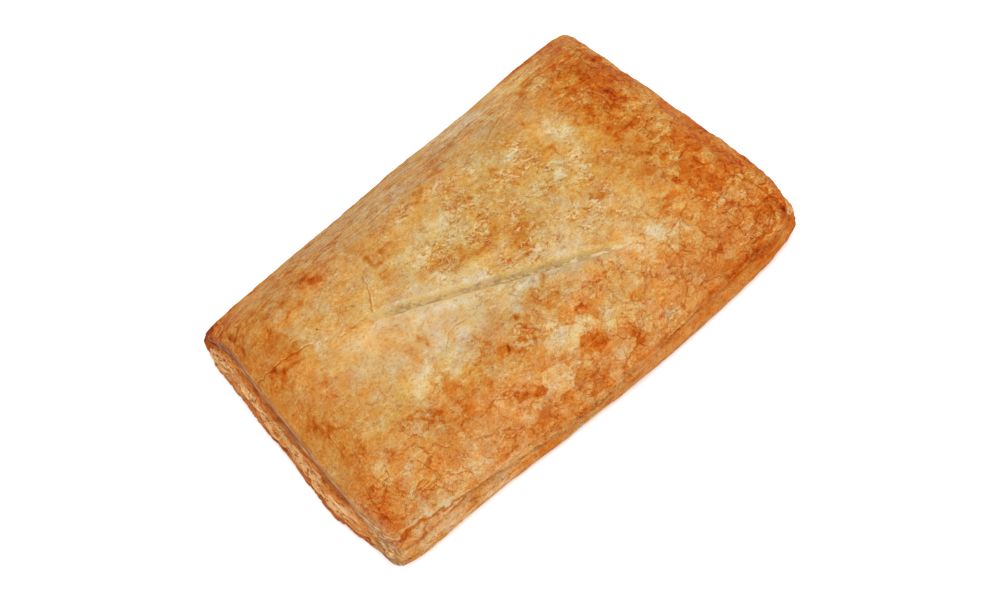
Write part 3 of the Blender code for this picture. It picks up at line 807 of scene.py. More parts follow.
def crack_fields(points):
    """Across each point's nearest crack in half-widths, its strength there, and the cracks' relief."""
    moved = warped(points, "cracks")
    across = np.full(len(points), FAR_AWAY)
    strength = np.zeros(len(points))
    rise = np.zeros(len(points))
    for dark, half_width, height, line in CRACKS:
        signed, beside = along_line(moved[:, 0], moved[:, 1], in_metres(line))
        widths = signed * TENTHS / half_width
        closer = (np.abs(widths) < np.abs(across)) & (beside > 0.0)
        across = np.where(closer, widths, across)
        strength = np.where(closer, dark * beside, strength)
        rise += height / TENTHS * beside * bump(widths / CRACK_SOFTNESS)
    return across, strength, rise


def sheet_distance(points):
    """Signed distance from the bared sheet's border, positive on the sheet."""
    moved = warped(points, "sheet")
    signed, _ = along_line(moved[:, 0], moved[:, 1], in_metres(SHEET_BORDER))
    return signed


def distance_inside(x, y, outline):
    """Distance from a closed outline, above zero inside it."""
    ends = outline[1:] + outline[:1]
    nearest = np.full(len(x), np.inf)
    inside = np.zeros(len(x), dtype=bool)
    for start, end in zip(outline, ends):
        run_x, run_y = end[0] - start[0], end[1] - start[1]
        t = ((x - start[0]) * run_x + (y - start[1]) * run_y) / (run_x**2 + run_y**2)
        t = np.clip(t, 0.0, 1.0)
        nearest = np.minimum(nearest, np.hypot(x - start[0] - t * run_x, y - start[1] - t * run_y))
        if run_y != 0.0:
            spans = (start[1] > y) != (end[1] > y)
            inside ^= spans & (x < start[0] + (y - start[1]) * run_x / run_y)
    return np.where(inside, nearest, -nearest)


def leaf_fields(points):
    """How far inside its nearest leaf a point is, in border widths, and how much browner it is."""
    moved = warped(points, "leaves")
    within = np.full(len(points), -LEAF_OUTLINE_WIDTH * FAR_AWAY)
    browner = np.zeros(len(points))
    for change, outline in LEAVES:
        depth = distance_inside(moved[:, 0], moved[:, 1], in_metres(outline))
        closer = depth > within
        within = np.where(closer, depth, within)
        browner = np.where(closer, change, browner)
    return within / LEAF_OUTLINE_WIDTH, browner


def slit_fields(x, y, on_top):
    """Where the slit is open, and how grey and how white its seam is."""
    gap = slit_across(x, y)
    torn = past(x, TORN_X) * until(gap, TORN_GAP)
    seams = [(about(x * TENTHS, band), grey, white) for *band, grey, white in SEAM_PARTS]
    return {
        "slit": gap / SLIT_HALF_WIDTH,
        "slit_on": slit_along(x) * on_top * (1.0 - 0.8 * torn),
        "grey": np.clip(sum(near * grey for near, grey, _ in seams), 0.0, 1.0),
        "white": np.clip(sum(near * white for near, _, white in seams), 0.0, 1.0),
    }


def crust_fields(skin):
    """What the crust is like at each point, as named values from about 0 to 1."""
    points, down, on_end = skin["point"], skin["down"], skin["on_end"]
    x, y = points[:, 0], points[:, 1]
    u, w = skin["u"], skin["w"]
    on_top = 1.0 - past(down, TOP_DOWN)
    off_end = 1.0 - on_end
    near_half = y < 0.0
    cut_half = x < 0.0

    to_far, to_near = side_far(u) - y, y - side_near(u)
    to_cut, to_plain = x - end_cut(w), end_plain(w) - x
    by_side = bump(np.maximum(np.minimum(to_far, to_near), 0.0) / BAKE_SIDE_WIDTH)
    by_end = bump(np.maximum(np.minimum(to_cut, to_plain), 0.0) / BAKE_END_WIDTH)
    low = until(y, LOW_Y)
    right = past(x, RIGHT_X)
    side_sheet = past(down, SHEET_DOWN)
    above_crease = 1.0 - past(down, LEAFY_DOWN)

    # Placed and mottled browning
    moved = warped(points, "patches")
    mottled = 1.0 + 0.35 * field_noise(points, "mottled")
    browned = patches(moved, BROWNED) * mottled * (1.0 - 0.45 * low)
    paled = patches(moved, PALE) * mottled
    cloud = field_noise(points, "cloud")
    mottle = field_noise(warped(points, "mottle"), "mottle")

    # Wrinkles, leaves, veins and flakes
    uneven = 1.0 + 0.5 * field_noise(points, "wrinkled")
    wrinkled = np.clip(patches(points, WRINKLED) * uneven, 0.0, 1.0)
    ridged = np.abs(field_noise(warped(points, "ridged"), "ridged"))
    leaf = field_noise(warped(points, "leaf"), "leaf")
    within, browner = leaf_fields(points)
    vein = field_noise(warped(points, "vein"), "vein")
    leafy = np.maximum(low, 0.75 * right) + 0.15 + 0.25 * field_noise(points, "leafy")
    leafy = np.clip(leafy, 0.0, 1.0)
    leafy *= 0.2 + 0.8 * above_crease
    leafy *= 1.0 - 0.35 * oval(x, y, FEW_LEAVES_NEAR, squareness=SQUARE_OVAL)
    leafy *= 1.0 - 0.45 * oval(x, y, FEW_LEAVES_RIGHT, squareness=SQUARE_OVAL)
    calm = np.clip(patches(moved, CALM), 0.0, 1.0)
    flaky = past(x, FLAKY_RIGHT_X) + oval(x, y, FLAKY_CORNER)
    flaky += 0.40 * until(x, FLAKY_LEFT_X) * (1.0 - 0.7 * calm) * (1.0 - 0.7 * low)
    crack, cracked, crack_rise = crack_fields(points)
    line_reach = np.where((on_end > 0.3) & cut_half, on_top, above_crease)
    streak = field_noise(points, "streak")

    # Beside the slit, the slopes, the sides and the ends
    slit_gap = slit_across(x, y)
    by_slit = slit_along(x)
    chalky = about(slit_gap, CHALKY_GAP) * by_slit
    near_lip = about(slit_gap, NEAR_LIP_GAP) * by_slit
    far_slope = until(to_far, FAR_SLOPE)
    near_slope = until(to_near, NEAR_SLOPE)
    slope_sheen = 0.25 + 0.60 * about(x, SLOPE_SHEEN_BAND_X) - 0.25 * past(x, SLOPE_SHEEN_TO_X)
    cream = until(np.abs(x - CREAM_MIDDLE_X), CREAM_REACH) * past(y, CREAM_Y) * on_top
    fold_crease = about(down, CREASE_BAND) * off_end
    # Painted shade in the crevice under the lip of a cut end
    crevice_shade = about(down, CREVICE_BAND) * on_end
    reddened = sum(about(x * TENTHS, band) for band in CREASE_PARTS) * near_half
    striated = patches(points, STRIATED) * (1.0 - past(down, STRIATED_DOWN))
    lip = sum(most * about(down, band) for *band, most in LIP_LINES)

    bake = BAKE_MIDDLE + BAKE_BY_SIDE * by_side + BAKE_BY_END * by_end + patches(moved, CLOUDS)
    bake += 0.42 * browned - 0.85 * paled + 0.030 * cloud + 0.020 * mottle
    # Painted light and shade: the folds' creases are made paler where they are not reddened, which lightens
    # the shade in them, and the crevice under a cut end's lip is darkened as painted shade
    bake += fold_crease * (0.16 * reddened - 0.13) + 0.30 * crevice_shade
    # Painted light: the far slope, which turns away from the lamps, is made paler. The plain end past
    # PALE_END_X is paler too.
    bake -= 0.05 * far_slope + 0.06 * past(x, PALE_END_X)
    bake -= 0.05 * off_end * past(down, LOWER_SIDE_DOWN) * near_half
    bake += (1.0 - on_top) * off_end * 0.05 * streak
    bake -= 0.07 * about(slit_gap, FAR_LIP_GAP) * by_slit
    bake -= 0.08 * about(slit_gap, BELOW_SLIT_GAP) * by_slit * about(x, BELOW_SLIT_X)

    orange = 0.9 * oval(x, y, TOP_CORNER) + 0.7 * oval(x, y, FAR_EAR) + 0.5 * right + 0.9 * far_slope * right
    orange += 0.15 + 0.5 * about(x, ORANGE_CUT_X) + 0.6 * on_end * (x > 0.0)
    orange += 0.5 * past(x, ORANGE_END_X) * about(y, ORANGE_PLAIN_Y)
    orange += 0.2 * field_noise(points, "orange")
    rosy = 0.9 * near_slope + 0.35 * low + 0.35 * off_end * near_half * side_sheet
    rosy += 0.2 * field_noise(points, "rosy")
    # On the far slope the grey tint is painted sheen, the grey reflection that the slope takes at a grazing
    # view; by the slit, its near lip, the cream and the chalky places it is greyer crust
    grey_and_sheen = 0.75 * far_slope * slope_sheen * past(x, SLOPE_SHEEN_FROM_X) + 0.35 * chalky + 0.5 * near_lip
    grey_and_sheen += 0.12 * cream + patches(moved, CHALKY) + 0.14 * field_noise(points, "grey_and_sheen")
    olive = oval(x, y, OLIVE_MIDDLE, squareness=SQUARE_OVAL) + 0.8 * oval(x, y, OLIVE_NEAR)
    olive += 0.2 * field_noise(points, "olive")
    return {
        "grey_and_sheen": np.clip(grey_and_sheen, 0.0, 1.0),
        "bake": bake,
        "browned": browned,
        "browner": browner * on_top,
        "calm": calm,
        "core": on_end * past(down, CORE_DOWN),
        "crack": crack,
        "crack_rise": crack_rise * line_reach,
        "cracked": cracked * line_reach,
        "flaky": on_top * np.clip(flaky, 0.0, 1.0),
        "fold": (down - CREASE_DOWN) / CREASE_LINE,
        "folded": np.clip(reddened, 0.0, 1.0) * off_end * (1.0 - on_top),
        "leaf": leaf,
        "leafy": leafy,
        "lip": lip * on_end * cut_half,
        "olive": np.clip(olive, 0.0, 1.0) * on_top,
        "on_top": on_top,
        "orange": np.clip(orange, 0.0, 1.0),
        "ridge": np.clip(1.0 - 1.1 * ridged, 0.0, 1.0) ** 1.6,
        "rosy": np.clip(rosy, 0.0, 1.3),
        "sheet": sheet_distance(points) / SHEET_SOFTNESS,
        "slope": far_slope,
        "streak": streak,
        "striated": striated,
        "tanned": off_end * side_sheet * np.where(near_half, until(x, TANNED_X), 0.8),
        "vein": vein,
        "within": within,
        "wrinkled": wrinkled * on_top,
        **slit_fields(x, y, on_top),
    }


def crust_relief(skin, fields):
    """How far the fine relief stands out of the form."""
    points = skin["point"]
    ripples = RIPPLE_HEIGHT * field_noise(warped(points, "ripple"), "ripple")
    rise = ripples * (0.5 + 0.5 * fields["leafy"]) * (0.4 + 0.6 * fields["on_top"])
    rise += WRINKLE_HEIGHT * fields["wrinkled"] * (fields["ridge"] - 0.4)
    for level in LEAF_LEVELS:
        over = (fields["leaf"] - level) / LEAF_SOFTNESS
        rise += fields["leafy"] * LEAF_STEP * (smooth_step(over) - 0.5)
        rise -= fields["leafy"] * LEAF_GROOVE * bump(2.0 * over)
    rise += fields["crack_rise"]
    rise -= SHEET_STEP * smooth_step(fields["sheet"]) * fields["on_top"]
    side = (1.0 - fields["on_top"]) * (1.0 - skin["on_end"])
    rise += side * STREAK_HEIGHT * smooth_step(fields["streak"] / 0.5 + 0.5)
    rise -= CORE_RECESS * fields["core"]
    quiet = 1.0 - 0.8 * fields["slit_on"] * bump(fields["slit"] / 1.2)
    return rise * quiet * skin["free"]


def quads(index, closed=False):
    """Quads between neighbours in a grid of point numbers. If closed, its first axis wraps round."""
    ahead = np.roll(index, -1, axis=0) if closed else index[1:]
    here = index if closed else index[:-1]
    corners = (here[:, :-1], ahead[:, :-1], ahead[:, 1:], here[:, 1:])
    return np.stack([corner.ravel() for corner in corners], 1)


def normals_of(points, faces):
    """Unit normals at the points of a mesh of quads."""
    a, b, c, d = (points[faces[:, corner]] for corner in range(4))
    across = np.cross(c - a, d - b)
    total = np.zeros_like(points)
    for corner in range(4):
        np.add.at(total, faces[:, corner], across)
    return total / np.maximum(np.linalg.norm(total, axis=1, keepdims=True), 1e-12)


def make_piece(name, points, faces, material, fields=None):
    """A smooth mesh piece with its named fields, riding on the part's body."""
    mesh = bpy.data.meshes.new(name)
    mesh.from_pydata(points.tolist(), [], faces)
    mesh.update()
    for field, values in (fields or {}).items():
        mesh.attributes.new(field, "FLOAT", "POINT").data.foreach_set("value", values.astype(np.float32))
    mesh.materials.append(material)
    mesh.shade_smooth()
    piece = bpy.data.objects.new(name, mesh)
    bpy.context.scene.collection.objects.link(piece)
    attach(piece, "root")
    return piece


def lay_out_skin():
    """The crust's points before their fine relief, its faces, and its rim."""
    a, b = np.linspace(-1.0, 1.0, COLUMNS + 1), np.linspace(-1.0, 1.0, ROWS + 1)
    even_u, even_v = (grid.ravel() for grid in np.meshgrid(a, b, indexing="ij"))
    x, y, u, w = top_place(even_u, even_v)
    top = np.column_stack([x, y, top_height(x, y, u, w)])
    border = rim_indices()
    at_end = (np.abs(even_u[border]) > 1.0 - 1.0 / COLUMNS) * 1.0
    ease = smooth_step((1.0 - np.abs(w[border])) * WIDTH / 2.0 / END_EASE)
    rim = {
        "place": top[border, :2],
        "height": top[border, 2],
        "outward": outward(u[border], w[border]),
        "on_end": at_end * ease,
    }
    downs = np.arange(1, RINGS + 1) / RINGS
    rings = [side_points(rim, down) for down in downs]
    base = rings[-1] * BASE_INSET
    stations = len(border)
    points = np.concatenate([top, *rings, base])
    skin = {
        "point": points,
        "down": np.concatenate([np.zeros(len(top)), np.repeat(downs, stations), np.ones(stations)]),
        "on_end": np.concatenate([np.zeros(len(top)), np.tile(rim["on_end"], RINGS), np.zeros(stations)]),
        "u": np.concatenate([u, np.tile(u[border], RINGS + 1)]),
        "w": np.concatenate([w, np.tile(w[border], RINGS + 1)]),
        "free": np.concatenate([np.ones(len(top) + stations * (RINGS - 1)), np.zeros(2 * stations)]),
    }
    grid = np.arange(len(top)).reshape(COLUMNS + 1, ROWS + 1)
    below = len(top) + np.arange(stations * (RINGS + 1)).reshape(RINGS + 1, stations)
    side = np.vstack([border, below]).T
    faces = np.vstack([quads(grid), quads(side[:, ::-1], closed=True)])
    return skin, faces, below[-1], rim


def make_crust():
    """The whole crust as one closed body, in place of the solid."""
    skin, faces, base, rim = lay_out_skin()
    fields = crust_fields(skin)
    normals = normals_of(skin["point"], faces)
    points = skin["point"] + normals * crust_relief(skin, fields)[:, None]
    points = np.clip(points, np.array(cad_low), np.array(cad_high))
    shown = {name: values for name, values in fields.items() if name not in RELIEF_ONLY}
    crust = make_piece("crust", points, faces.tolist() + [base[::-1].tolist()], crust_material(shown), shown)
    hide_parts("pastry")
    return rim


# The layers that stand out at the cut ends, as thin sheets one above the other
LAYER_COUNTS = {"cut": 12, "plain": 11}
LAYER_SHIFTS = {"cut": 3.1, "plain": 7.9}
LAYERS_FROM_DOWN = 0.43
LAYERS_TO_DOWN = 0.985
LAYER_THICKNESS = 0.00085
LAYER_THICKNESS_UNEVEN = 0.35
LAYER_THICKNESS_CELL = 0.006
LAYER_THINNEST = 0.0004
LAYER_THICKEST = 0.0014
LAYER_HELD = 0.0040
LAYER_WAVE = 0.00055
LAYER_WAVE_CELL = 0.011
LAYER_FRAY = 0.00026
LAYER_FRAY_MOST = 0.0002
LAYER_FRAY_CELL = 0.0034
LAYER_BITE = 0.0011
LAYER_BITE_CELL = 0.0100
LAYER_LIFT = 0.00005

# A layer's section: back from its edge, as a share of how far it is held, and up, in thicknesses
LAYER_SECTION = ((-1.0, 0.5), (-0.25, 0.5), (-0.06, 0.42), (0.0, 0.12), (0.0, -0.12), (-0.06, -0.42),
                 (-0.25, -0.5), (-1.0, -0.5))

# The layers draw in towards both of their ends
LAYER_END_FADE = 0.16
LAYER_END_INSET = 0.0015
END_FROM = 0.02


def end_stations(rim, end):
    """The rim stations along one cut end, in order anticlockwise."""
    x, y = rim["place"].T
    here = np.flatnonzero((rim["on_end"] > END_FROM) & ((x < 0.0) == (end == "cut")))
    order = np.argsort(y[here])
    return here[order[::-1] if end == "cut" else order]


def make_layers(rim, end, material):
    """The layers at one cut end, joined in one piece. Each is a closed strip along the end."""
    here = end_stations(rim, end)
    part = {key: value[here] for key, value in rim.items()}
    count = LAYER_COUNTS[end]
    share = np.linspace(0.0, 1.0, len(here))
    fade = smooth_step(np.minimum(share, 1.0 - share) / LAYER_END_FADE)
    blocks, faces, tints = [], [], []
    index = np.arange(len(here) * len(LAYER_SECTION)).reshape(len(here), -1)
    for layer in range(count):
        edge = side_points(part, mix(LAYERS_FROM_DOWN, LAYERS_TO_DOWN, (layer + 0.5) / count))
        shift = 11.3 * layer + LAYER_SHIFTS[end]
        fray = LAYER_FRAY * fractal(edge, LAYER_FRAY_CELL, 3, shift)
        bite = LAYER_BITE * np.clip(fractal(edge, LAYER_BITE_CELL, 2, shift + 2.0) - 0.7, 0.0, 1.4)
        wave = LAYER_WAVE * fractal(edge, LAYER_WAVE_CELL, 2, 0.7 * layer)
        uneven = LAYER_THICKNESS_UNEVEN * fractal(edge, LAYER_THICKNESS_CELL, 2, shift + 5.0)
        thick = np.clip(LAYER_THICKNESS * (1.0 + uneven), LAYER_THINNEST, LAYER_THICKEST)
        reach = np.minimum(fray, LAYER_FRAY_MOST) - bite - LAYER_END_INSET * (1.0 - fade)
        block = np.zeros((*index.shape, 3))
        for corner, (back, up) in enumerate(LAYER_SECTION):
            out = reach + back * LAYER_HELD
            block[:, corner, :2] = edge[:, :2] + part["outward"] * out[:, None]
            block[:, corner, 2] = np.maximum(edge[:, 2] + wave + up * thick, LAYER_LIFT)
        blocks.append(block.reshape(-1, 3))
        faces += quads(index.T, closed=True).tolist()
        faces += [index[0, ::-1].tolist(), index[-1].tolist()]
        tints.append(np.full(index.size, layer / (count - 1.0)))
        index = index + index.size
    points = np.clip(np.concatenate(blocks), np.array(cad_low), np.array(cad_high))
    tip = np.clip([1.0 + 4.0 * back for back, _ in LAYER_SECTION], 0.0, 1.0)
    fields = {"tint": np.concatenate(tints), "tip": np.tile(tip, len(here) * count)}
    return make_piece("layers_" + end, points, faces, material, fields)


# Materials

# No stretch along any axis
EVEN = (1.0, 1.0, 1.0)

# Noise textures are multiplied by this, which gives them a spread of about one
SHADER_NOISE_GAIN = 12.0

# The edges of flakes: how wide they are, and how softly they end, in noise
STEP_EDGE = 0.00030
STEP_SOFTNESS = 0.10

# The inputs and the output of a mix node that hold colours
MIX_A = 6
MIX_B = 7
MIX_RESULT = 2

# The colours below are as they look in the studio light, and this takes that light off them
LIGHT_TAKEN_OFF = (0.802, 0.856, 0.785, 1.0)

# Crust colours by browning, from pale cream to dark brown
BAKE_COLOURS = (
    (0.00, (230, 197, 147)),
    (0.14, (227, 190, 140)),
    (0.27, (219, 172, 110)),
    (0.40, (211, 154, 84)),
    (0.52, (205, 136, 63)),
    (0.64, (198, 118, 44)),
    (0.78, (189, 98, 24)),
    (0.90, (172, 76, 8)),
    (1.00, (134, 48, 2)),
)
BROWNED_LEVELS = (0.05, 0.11, 0.19)
ORANGE_TINT = (1.03, 0.97, 0.76, 1.0)
ROSY_TINT = (1.12, 0.91, 0.88, 1.0)
# Strokes darken by this: dark red-brown lines, partly painted shade of the relief
STROKE_TINT = (0.72, 0.39, 0.14, 1.0)
# Greyer, bluer crust, and the painted sheen of the far slope
GREY_AND_SHEEN_TINT = (0.84, 0.98, 1.52, 1.0)
OLIVE_TINT = (0.95, 1.01, 0.97, 1.0)
WARM_TINT = (1.05, 0.94, 0.70, 1.0)
COOL_TINT = (0.95, 1.01, 1.35, 1.0)
# Painted highlight: the glint on the wrinkles' lit edges
WRINKLE_GLINT_COLOUR = (246, 222, 182)
PINHOLE_COLOUR = (60, 36, 18)
CORE_COLOUR = (198, 114, 62)
CRUST_BUMP = 0.00014
CRUST_ROUGHNESS = 0.50
CRUST_SHINE = 0.03

# The turn of the specks in the slit, which lie along it
SLIT_TURN = -0.48

# Noises of the crust: cell, octaves and shift, then stretch and turn where there are any
CRUST_NOISES = {
    "broad": (0.0060, 5.0, 1.3),
    "middling": (0.0024, 6.0, 3.9),
    "fine": (0.0011, 4.0, 4.1),
    "grain": (0.0005, 2.0, 9.2),
    "ragged": (0.0015, 4.0, 13.7),
    "patchy": (0.0090, 3.0, 17.9),
    "thread": (0.0017, 3.0, 27.3, (1.5, 1.0, 1.0)),
    "fleck": (0.0020, 6.0, 29.9, (1.4, 1.0, 1.0)),
    "dot": (0.0009, 3.0, 31.7, (1.3, 1.0, 1.0)),
    "speck": (0.0017, 5.0, 33.1, (1.4, 1.0, 1.0), SLIT_TURN),
    "lined": (0.0008, 3.0, 41.0, (1.0, 14.0, 1.0)),
    "slanted": (0.0007, 3.0, 43.0, (1.0, 9.0, 1.0)),
    "hue": (0.0050, 6.0, 51.3),
    "puffed": (0.0070, 3.0, 67.0),
    "lines": (0.0013, 4.0, 71.0, (5.0, 1.0, 1.0)),
}

# Flakes and folds of the crust: level, cell, octaves, shift, stretch along X, and turn
CRUST_STEPS = {
    "chip": (0.20, 0.0040, 4.0, 61.0, 1.5, -0.15),
    "fold": (0.35, 0.0031, 3.0, 63.0, 1.9, 0.35),
    "crinkle": (0.60, 0.0026, 3.0, 65.0, 1.8, -0.55),
    "island": (0.35, 0.0062, 5.0, 83.0, 1.0, 0.0),
    "flake": (0.45, 0.0042, 4.0, 91.0, 1.3, 0.3),
    "scab": (0.70, 0.0036, 4.0, 93.0, 1.3, -0.5),
}

# The sheet's scales, large and small: cell, how their places are moved, how ragged their borders
# are, then half of a border's line and where it ends
LARGE_SCALE = 0.0085
LARGE_SCALE_MOVE = (0.0045, 0.00060, 33.0)
LARGE_SCALE_RAGGED = 0.00008
LARGE_SCALE_LINE = (0.00020, 0.00050)
SMALL_SCALE = 0.0046
SMALL_SCALE_MOVE = (0.0030, 0.00070, 35.0)
SMALL_SCALE_RAGGED = 0.00006
SMALL_SCALE_LINE = (0.00012, 0.00036)

# Pinholes: their cell, radius, the share of the cells that have one, and shift
PINHOLES = (0.0110, 0.00038, 0.42, 5.0)

# Across the slit, from its near lip to its far lip: rim, crumb, seam, far wall, rim
SLIT_COLOURS = (
    (0.00, (224, 186, 118)),
    (0.28, (226, 190, 124)),
    (0.42, (222, 192, 138)),
    (0.52, (214, 186, 136)),
    (0.62, (222, 184, 114)),
    (0.78, (224, 184, 110)),
    (0.92, (228, 192, 124)),
    (1.00, (228, 190, 120)),
)
SLIT_SPAN = 1.35
SLIT_LINE = (186, 140, 74)
SEAM_COLOUR = (199, 160, 112)
SEAM_GREY = (166, 131, 98)
SEAM_WHITE = (240, 210, 170)
SEAM_RIM = (150, 112, 74)

# The lined lip of the cut end, and the striated corner beside it
LIP_COLOURS = (
    (0.0, (116, 60, 40)),
    (0.45, (148, 90, 66)),
    (0.75, (194, 138, 104)),
    (1.0, (232, 188, 150)),
)
STRIATED_COLOURS = (
    (0.0, (140, 96, 68)),
    (0.40, (190, 142, 98)),
    (0.65, (214, 170, 124)),
    (1.0, (240, 208, 166)),
)

# Down the layers at a cut end: smooth brown sheet, its pale edge, porous crumb, tan, browned foot
LAYER_COLOURS = (
    (0.00, (212, 122, 60)),
    (0.08, (240, 150, 78)),
    (0.15, (234, 142, 72)),
    (0.20, (250, 202, 152)),
    (0.26, (238, 162, 98)),
    (0.40, (242, 164, 98)),
    (0.52, (236, 152, 86)),
    (0.60, (250, 196, 140)),
    (0.68, (240, 164, 98)),
    (0.77, (212, 116, 60)),
    (1.00, (186, 100, 56)),
)
SMOOTH_LAYER_COLOUR = (232, 146, 76)
HOLE_COLOUR = (184, 98, 48)
WALL_COLOUR = (250, 208, 160)
SHADES = ((0.0, (190, 168, 150)), (0.5, (240, 234, 228)), (1.0, (255, 255, 255)))
LAYERS_BUMP = 0.0002
LAYERS_ROUGHNESS = 0.58

# Noises of the layers: cell, octaves and shift, then stretch where there is any
LAYER_NOISES = {
    "broad": (0.0140, 3.0, 2.7),
    "fine": (0.0014, 4.0, 6.3, (1.0, 5.0, 0.6)),
    "grain": (0.0007, 3.0, 11.9),
    "open": (0.0200, 2.0, 19.4),
}

# Pores of the crumb: their cell, how their places are moved, and a hole's radius and the ring of
# its wall, each with its end
PORE_CELL = 0.0014
PORE_MOVE = (PORE_CELL, 0.0003, 15.0, (0.8, 1.4, 1.0))
PORE_HOLE = (0.00026, 0.00050)
PORE_WALL = (0.00058, 0.00078)


def linear(colour):
    """A colour of three sRGB numbers from 0 to 255 as the linear colour that Blender takes."""
    shares = [channel / 255.0 for channel in colour]
    return tuple(c / 12.92 if c <= 0.04045 else ((c + 0.055) / 1.055) ** 2.4 for c in shares) + (1.0,)


def joined(operation, swapped=False):
    """A method that adds a math node, which joins a value and another value or a number."""
    def method(self, other):
        a, b = (other, self) if swapped else (self, other)
        return self.shader.math(operation, a, b)

    return method


class Value:
    """A shader output that can be added, multiplied and so on, each of which adds a node."""

    __add__ = __radd__ = joined("ADD")
    __mul__ = __rmul__ = joined("MULTIPLY")
    __sub__ = joined("SUBTRACT")
    __rsub__ = joined("SUBTRACT", swapped=True)

    def __init__(self, shader, socket):
        self.shader = shader
        self.socket = socket

    def size(self):
        return self.shader.math("ABSOLUTE", self)

    def held(self):
        """Held between 0 and 1."""
        return self.shader.math("ADD", self, 0.0, clamp=True)

    def between(self, low, high):
        """0 at low to 1 at high, with level ends."""
        inputs = {"Value": self, "From Min": low, "From Max": high}
        return self.shader.node("MapRange", "Result", inputs, interpolation_type="SMOOTHSTEP")

    def near(self, level, width):
        """1 where the value is at the level, falling to 0 a width away."""
        return 1.0 - (self - level).size().between(0.0, width)


class Shader:
    """A material, with short calls that add its nodes."""

    def __init__(self, name):
        self.material = bpy.data.materials.new(name)
        self.material.use_nodes = True
        self.tree = self.material.node_tree
        self.place = self.node("TexCoord", "Object")

    def put(self, socket, value):
        """Joins a value to an input, or sets the input to a number or a colour."""
        if isinstance(value, Value):
            self.tree.links.new(value.socket, socket)
        else:
            socket.default_value = value

    def node(self, kind, output, inputs=None, **settings):
        """Adds a node of this kind with these inputs and settings, and gives one output of it."""
        node = self.tree.nodes.new("ShaderNode" + kind)
        for name, value in settings.items():
            setattr(node, name, value)
        for name, value in (inputs or {}).items():
            self.put(node.inputs[name], value)
        return Value(self, node.outputs[output])

    def math(self, operation, a, b=0.0, clamp=False):
        return self.node("Math", 0, {0: a, 1: b}, operation=operation, use_clamp=clamp)

    def field(self, name):
        """One of the mesh's named fields."""
        return self.node("Attribute", "Fac", attribute_name=name)

    def placed(self, shift, stretch=EVEN, turn=0.0):
        """The place on the part, moved, turned about Z and drawn out along each axis."""
        location = [-shift * times for times in stretch]
        inputs = {"Vector": self.place, "Location": location, "Rotation": (0.0, 0.0, turn), "Scale": stretch}
        return self.node("Mapping", "Vector", inputs, vector_type="TEXTURE")

    def noise_at(self, vector, cell, detail, output="Fac"):
        return self.node("TexNoise", output, {"Vector": vector, "Scale": 1.0 / cell, "Detail": detail})

    def noise(self, cell, detail, shift=0.0, stretch=EVEN, turn=0.0):
        """Noise with a spread of about one, and features about one cell across."""
        return (self.noise_at(self.placed(shift, stretch, turn), cell, detail) - 0.5) * SHADER_NOISE_GAIN

    def steps(self, level, cell, detail, shift, along, turn):
        """Where noise is above a level, and that area's lit upper edge and shaded lower edge."""
        moves = (shift, shift + STEP_EDGE)
        noises = [self.noise(cell, detail, move, (along, 1.0, 1.0), turn) for move in moves]
        here, above = (noise.between(level, level + STEP_SOFTNESS) for noise in noises)
        return here, (here - above).held(), (above - here).held()

    def moved(self, cell, reach, shift, stretch=EVEN):
        """The place on the part, moved to and fro by noise."""
        vector = self.placed(shift, stretch)
        sway = self.noise_at(vector, cell, 3.0, "Color")
        centred = self.node("VectorMath", 0, {0: sway, 1: (0.5, 0.5, 0.5)}, operation="SUBTRACT")
        inputs = {0: centred, 1: [reach * SHADER_NOISE_GAIN] * 3, 2: vector}
        return self.node("VectorMath", 0, inputs, operation="MULTIPLY_ADD")

    def voronoi(self, output, vector, cell, feature="F1"):
        return self.node("TexVoronoi", output, {"Vector": vector, "Scale": 1.0 / cell}, feature=feature)

    def cells(self, vector, cell, feature="F1"):
        """Distance from the middle of the nearest cell, or from its border, in metres."""
        return self.voronoi("Distance", vector, cell, feature) * cell

    def cell_shade(self, vector, cell, channel="Green"):
        """A number from 0 to 1 for each cell, level inside the cell."""
        return self.node("SeparateColor", channel, {"Color": self.voronoi("Color", vector, cell)})

    def spots(self, cell, radius, share, shift=0.0):
        """1 in round spots, which a share of the cells have."""
        vector = self.placed(shift)
        chosen = self.cell_shade(vector, cell, "Red").between(1.0 - share, 1.001 - share)
        return (1.0 - self.cells(vector, cell).between(0.6 * radius, radius)) * chosen

    def ramp(self, value, stops):
        """A colour for the value, from stops of place and sRGB colour."""
        colour = self.node("ValToRGB", "Color", {"Fac": value})
        elements = colour.socket.node.color_ramp.elements
        while len(elements) < len(stops):
            elements.new(1.0)
        for element, (place, stop_colour) in zip(elements, stops):
            element.position = place
            element.color = linear(stop_colour)
        return colour

    def blend(self, factor, a, b, kind="MIX"):
        """Colour a, moved towards colour b by the factor, which the node holds between 0 and 1."""
        inputs = {0: factor, MIX_A: a, MIX_B: b}
        return self.node("Mix", MIX_RESULT, inputs, data_type="RGBA", blend_type=kind)

    def tinted(self, factor, colour, tint):
        """The colour multiplied by a tint, as far as the factor says."""
        return self.blend(factor, colour, tint, "MULTIPLY")

    def finish(self, colour, roughness, height, reach):
        """Joins colour and roughness to the surface, and the height to a bump of this reach."""
        normal = self.node("Bump", "Normal", {"Strength": 1.0, "Distance": reach, "Height": height})
        surface = self.tree.nodes["Principled BSDF"]
        self.put(surface.inputs["Base Color"], self.tinted(1.0, colour, LIGHT_TAKEN_OFF))
        self.put(surface.inputs["Roughness"], roughness)
        self.put(surface.inputs["Specular IOR Level"], CRUST_SHINE)
        self.put(surface.inputs["Normal"], normal)
        return self.material


# The crust's looks. Its tone is how browned it is, made lighter on lit edges as a painted highlight; its
# strokes are dark red-brown lines, partly painted shade of the relief; and its height is what the bump
# shows. s is the material, and f holds its fields and noises by name.


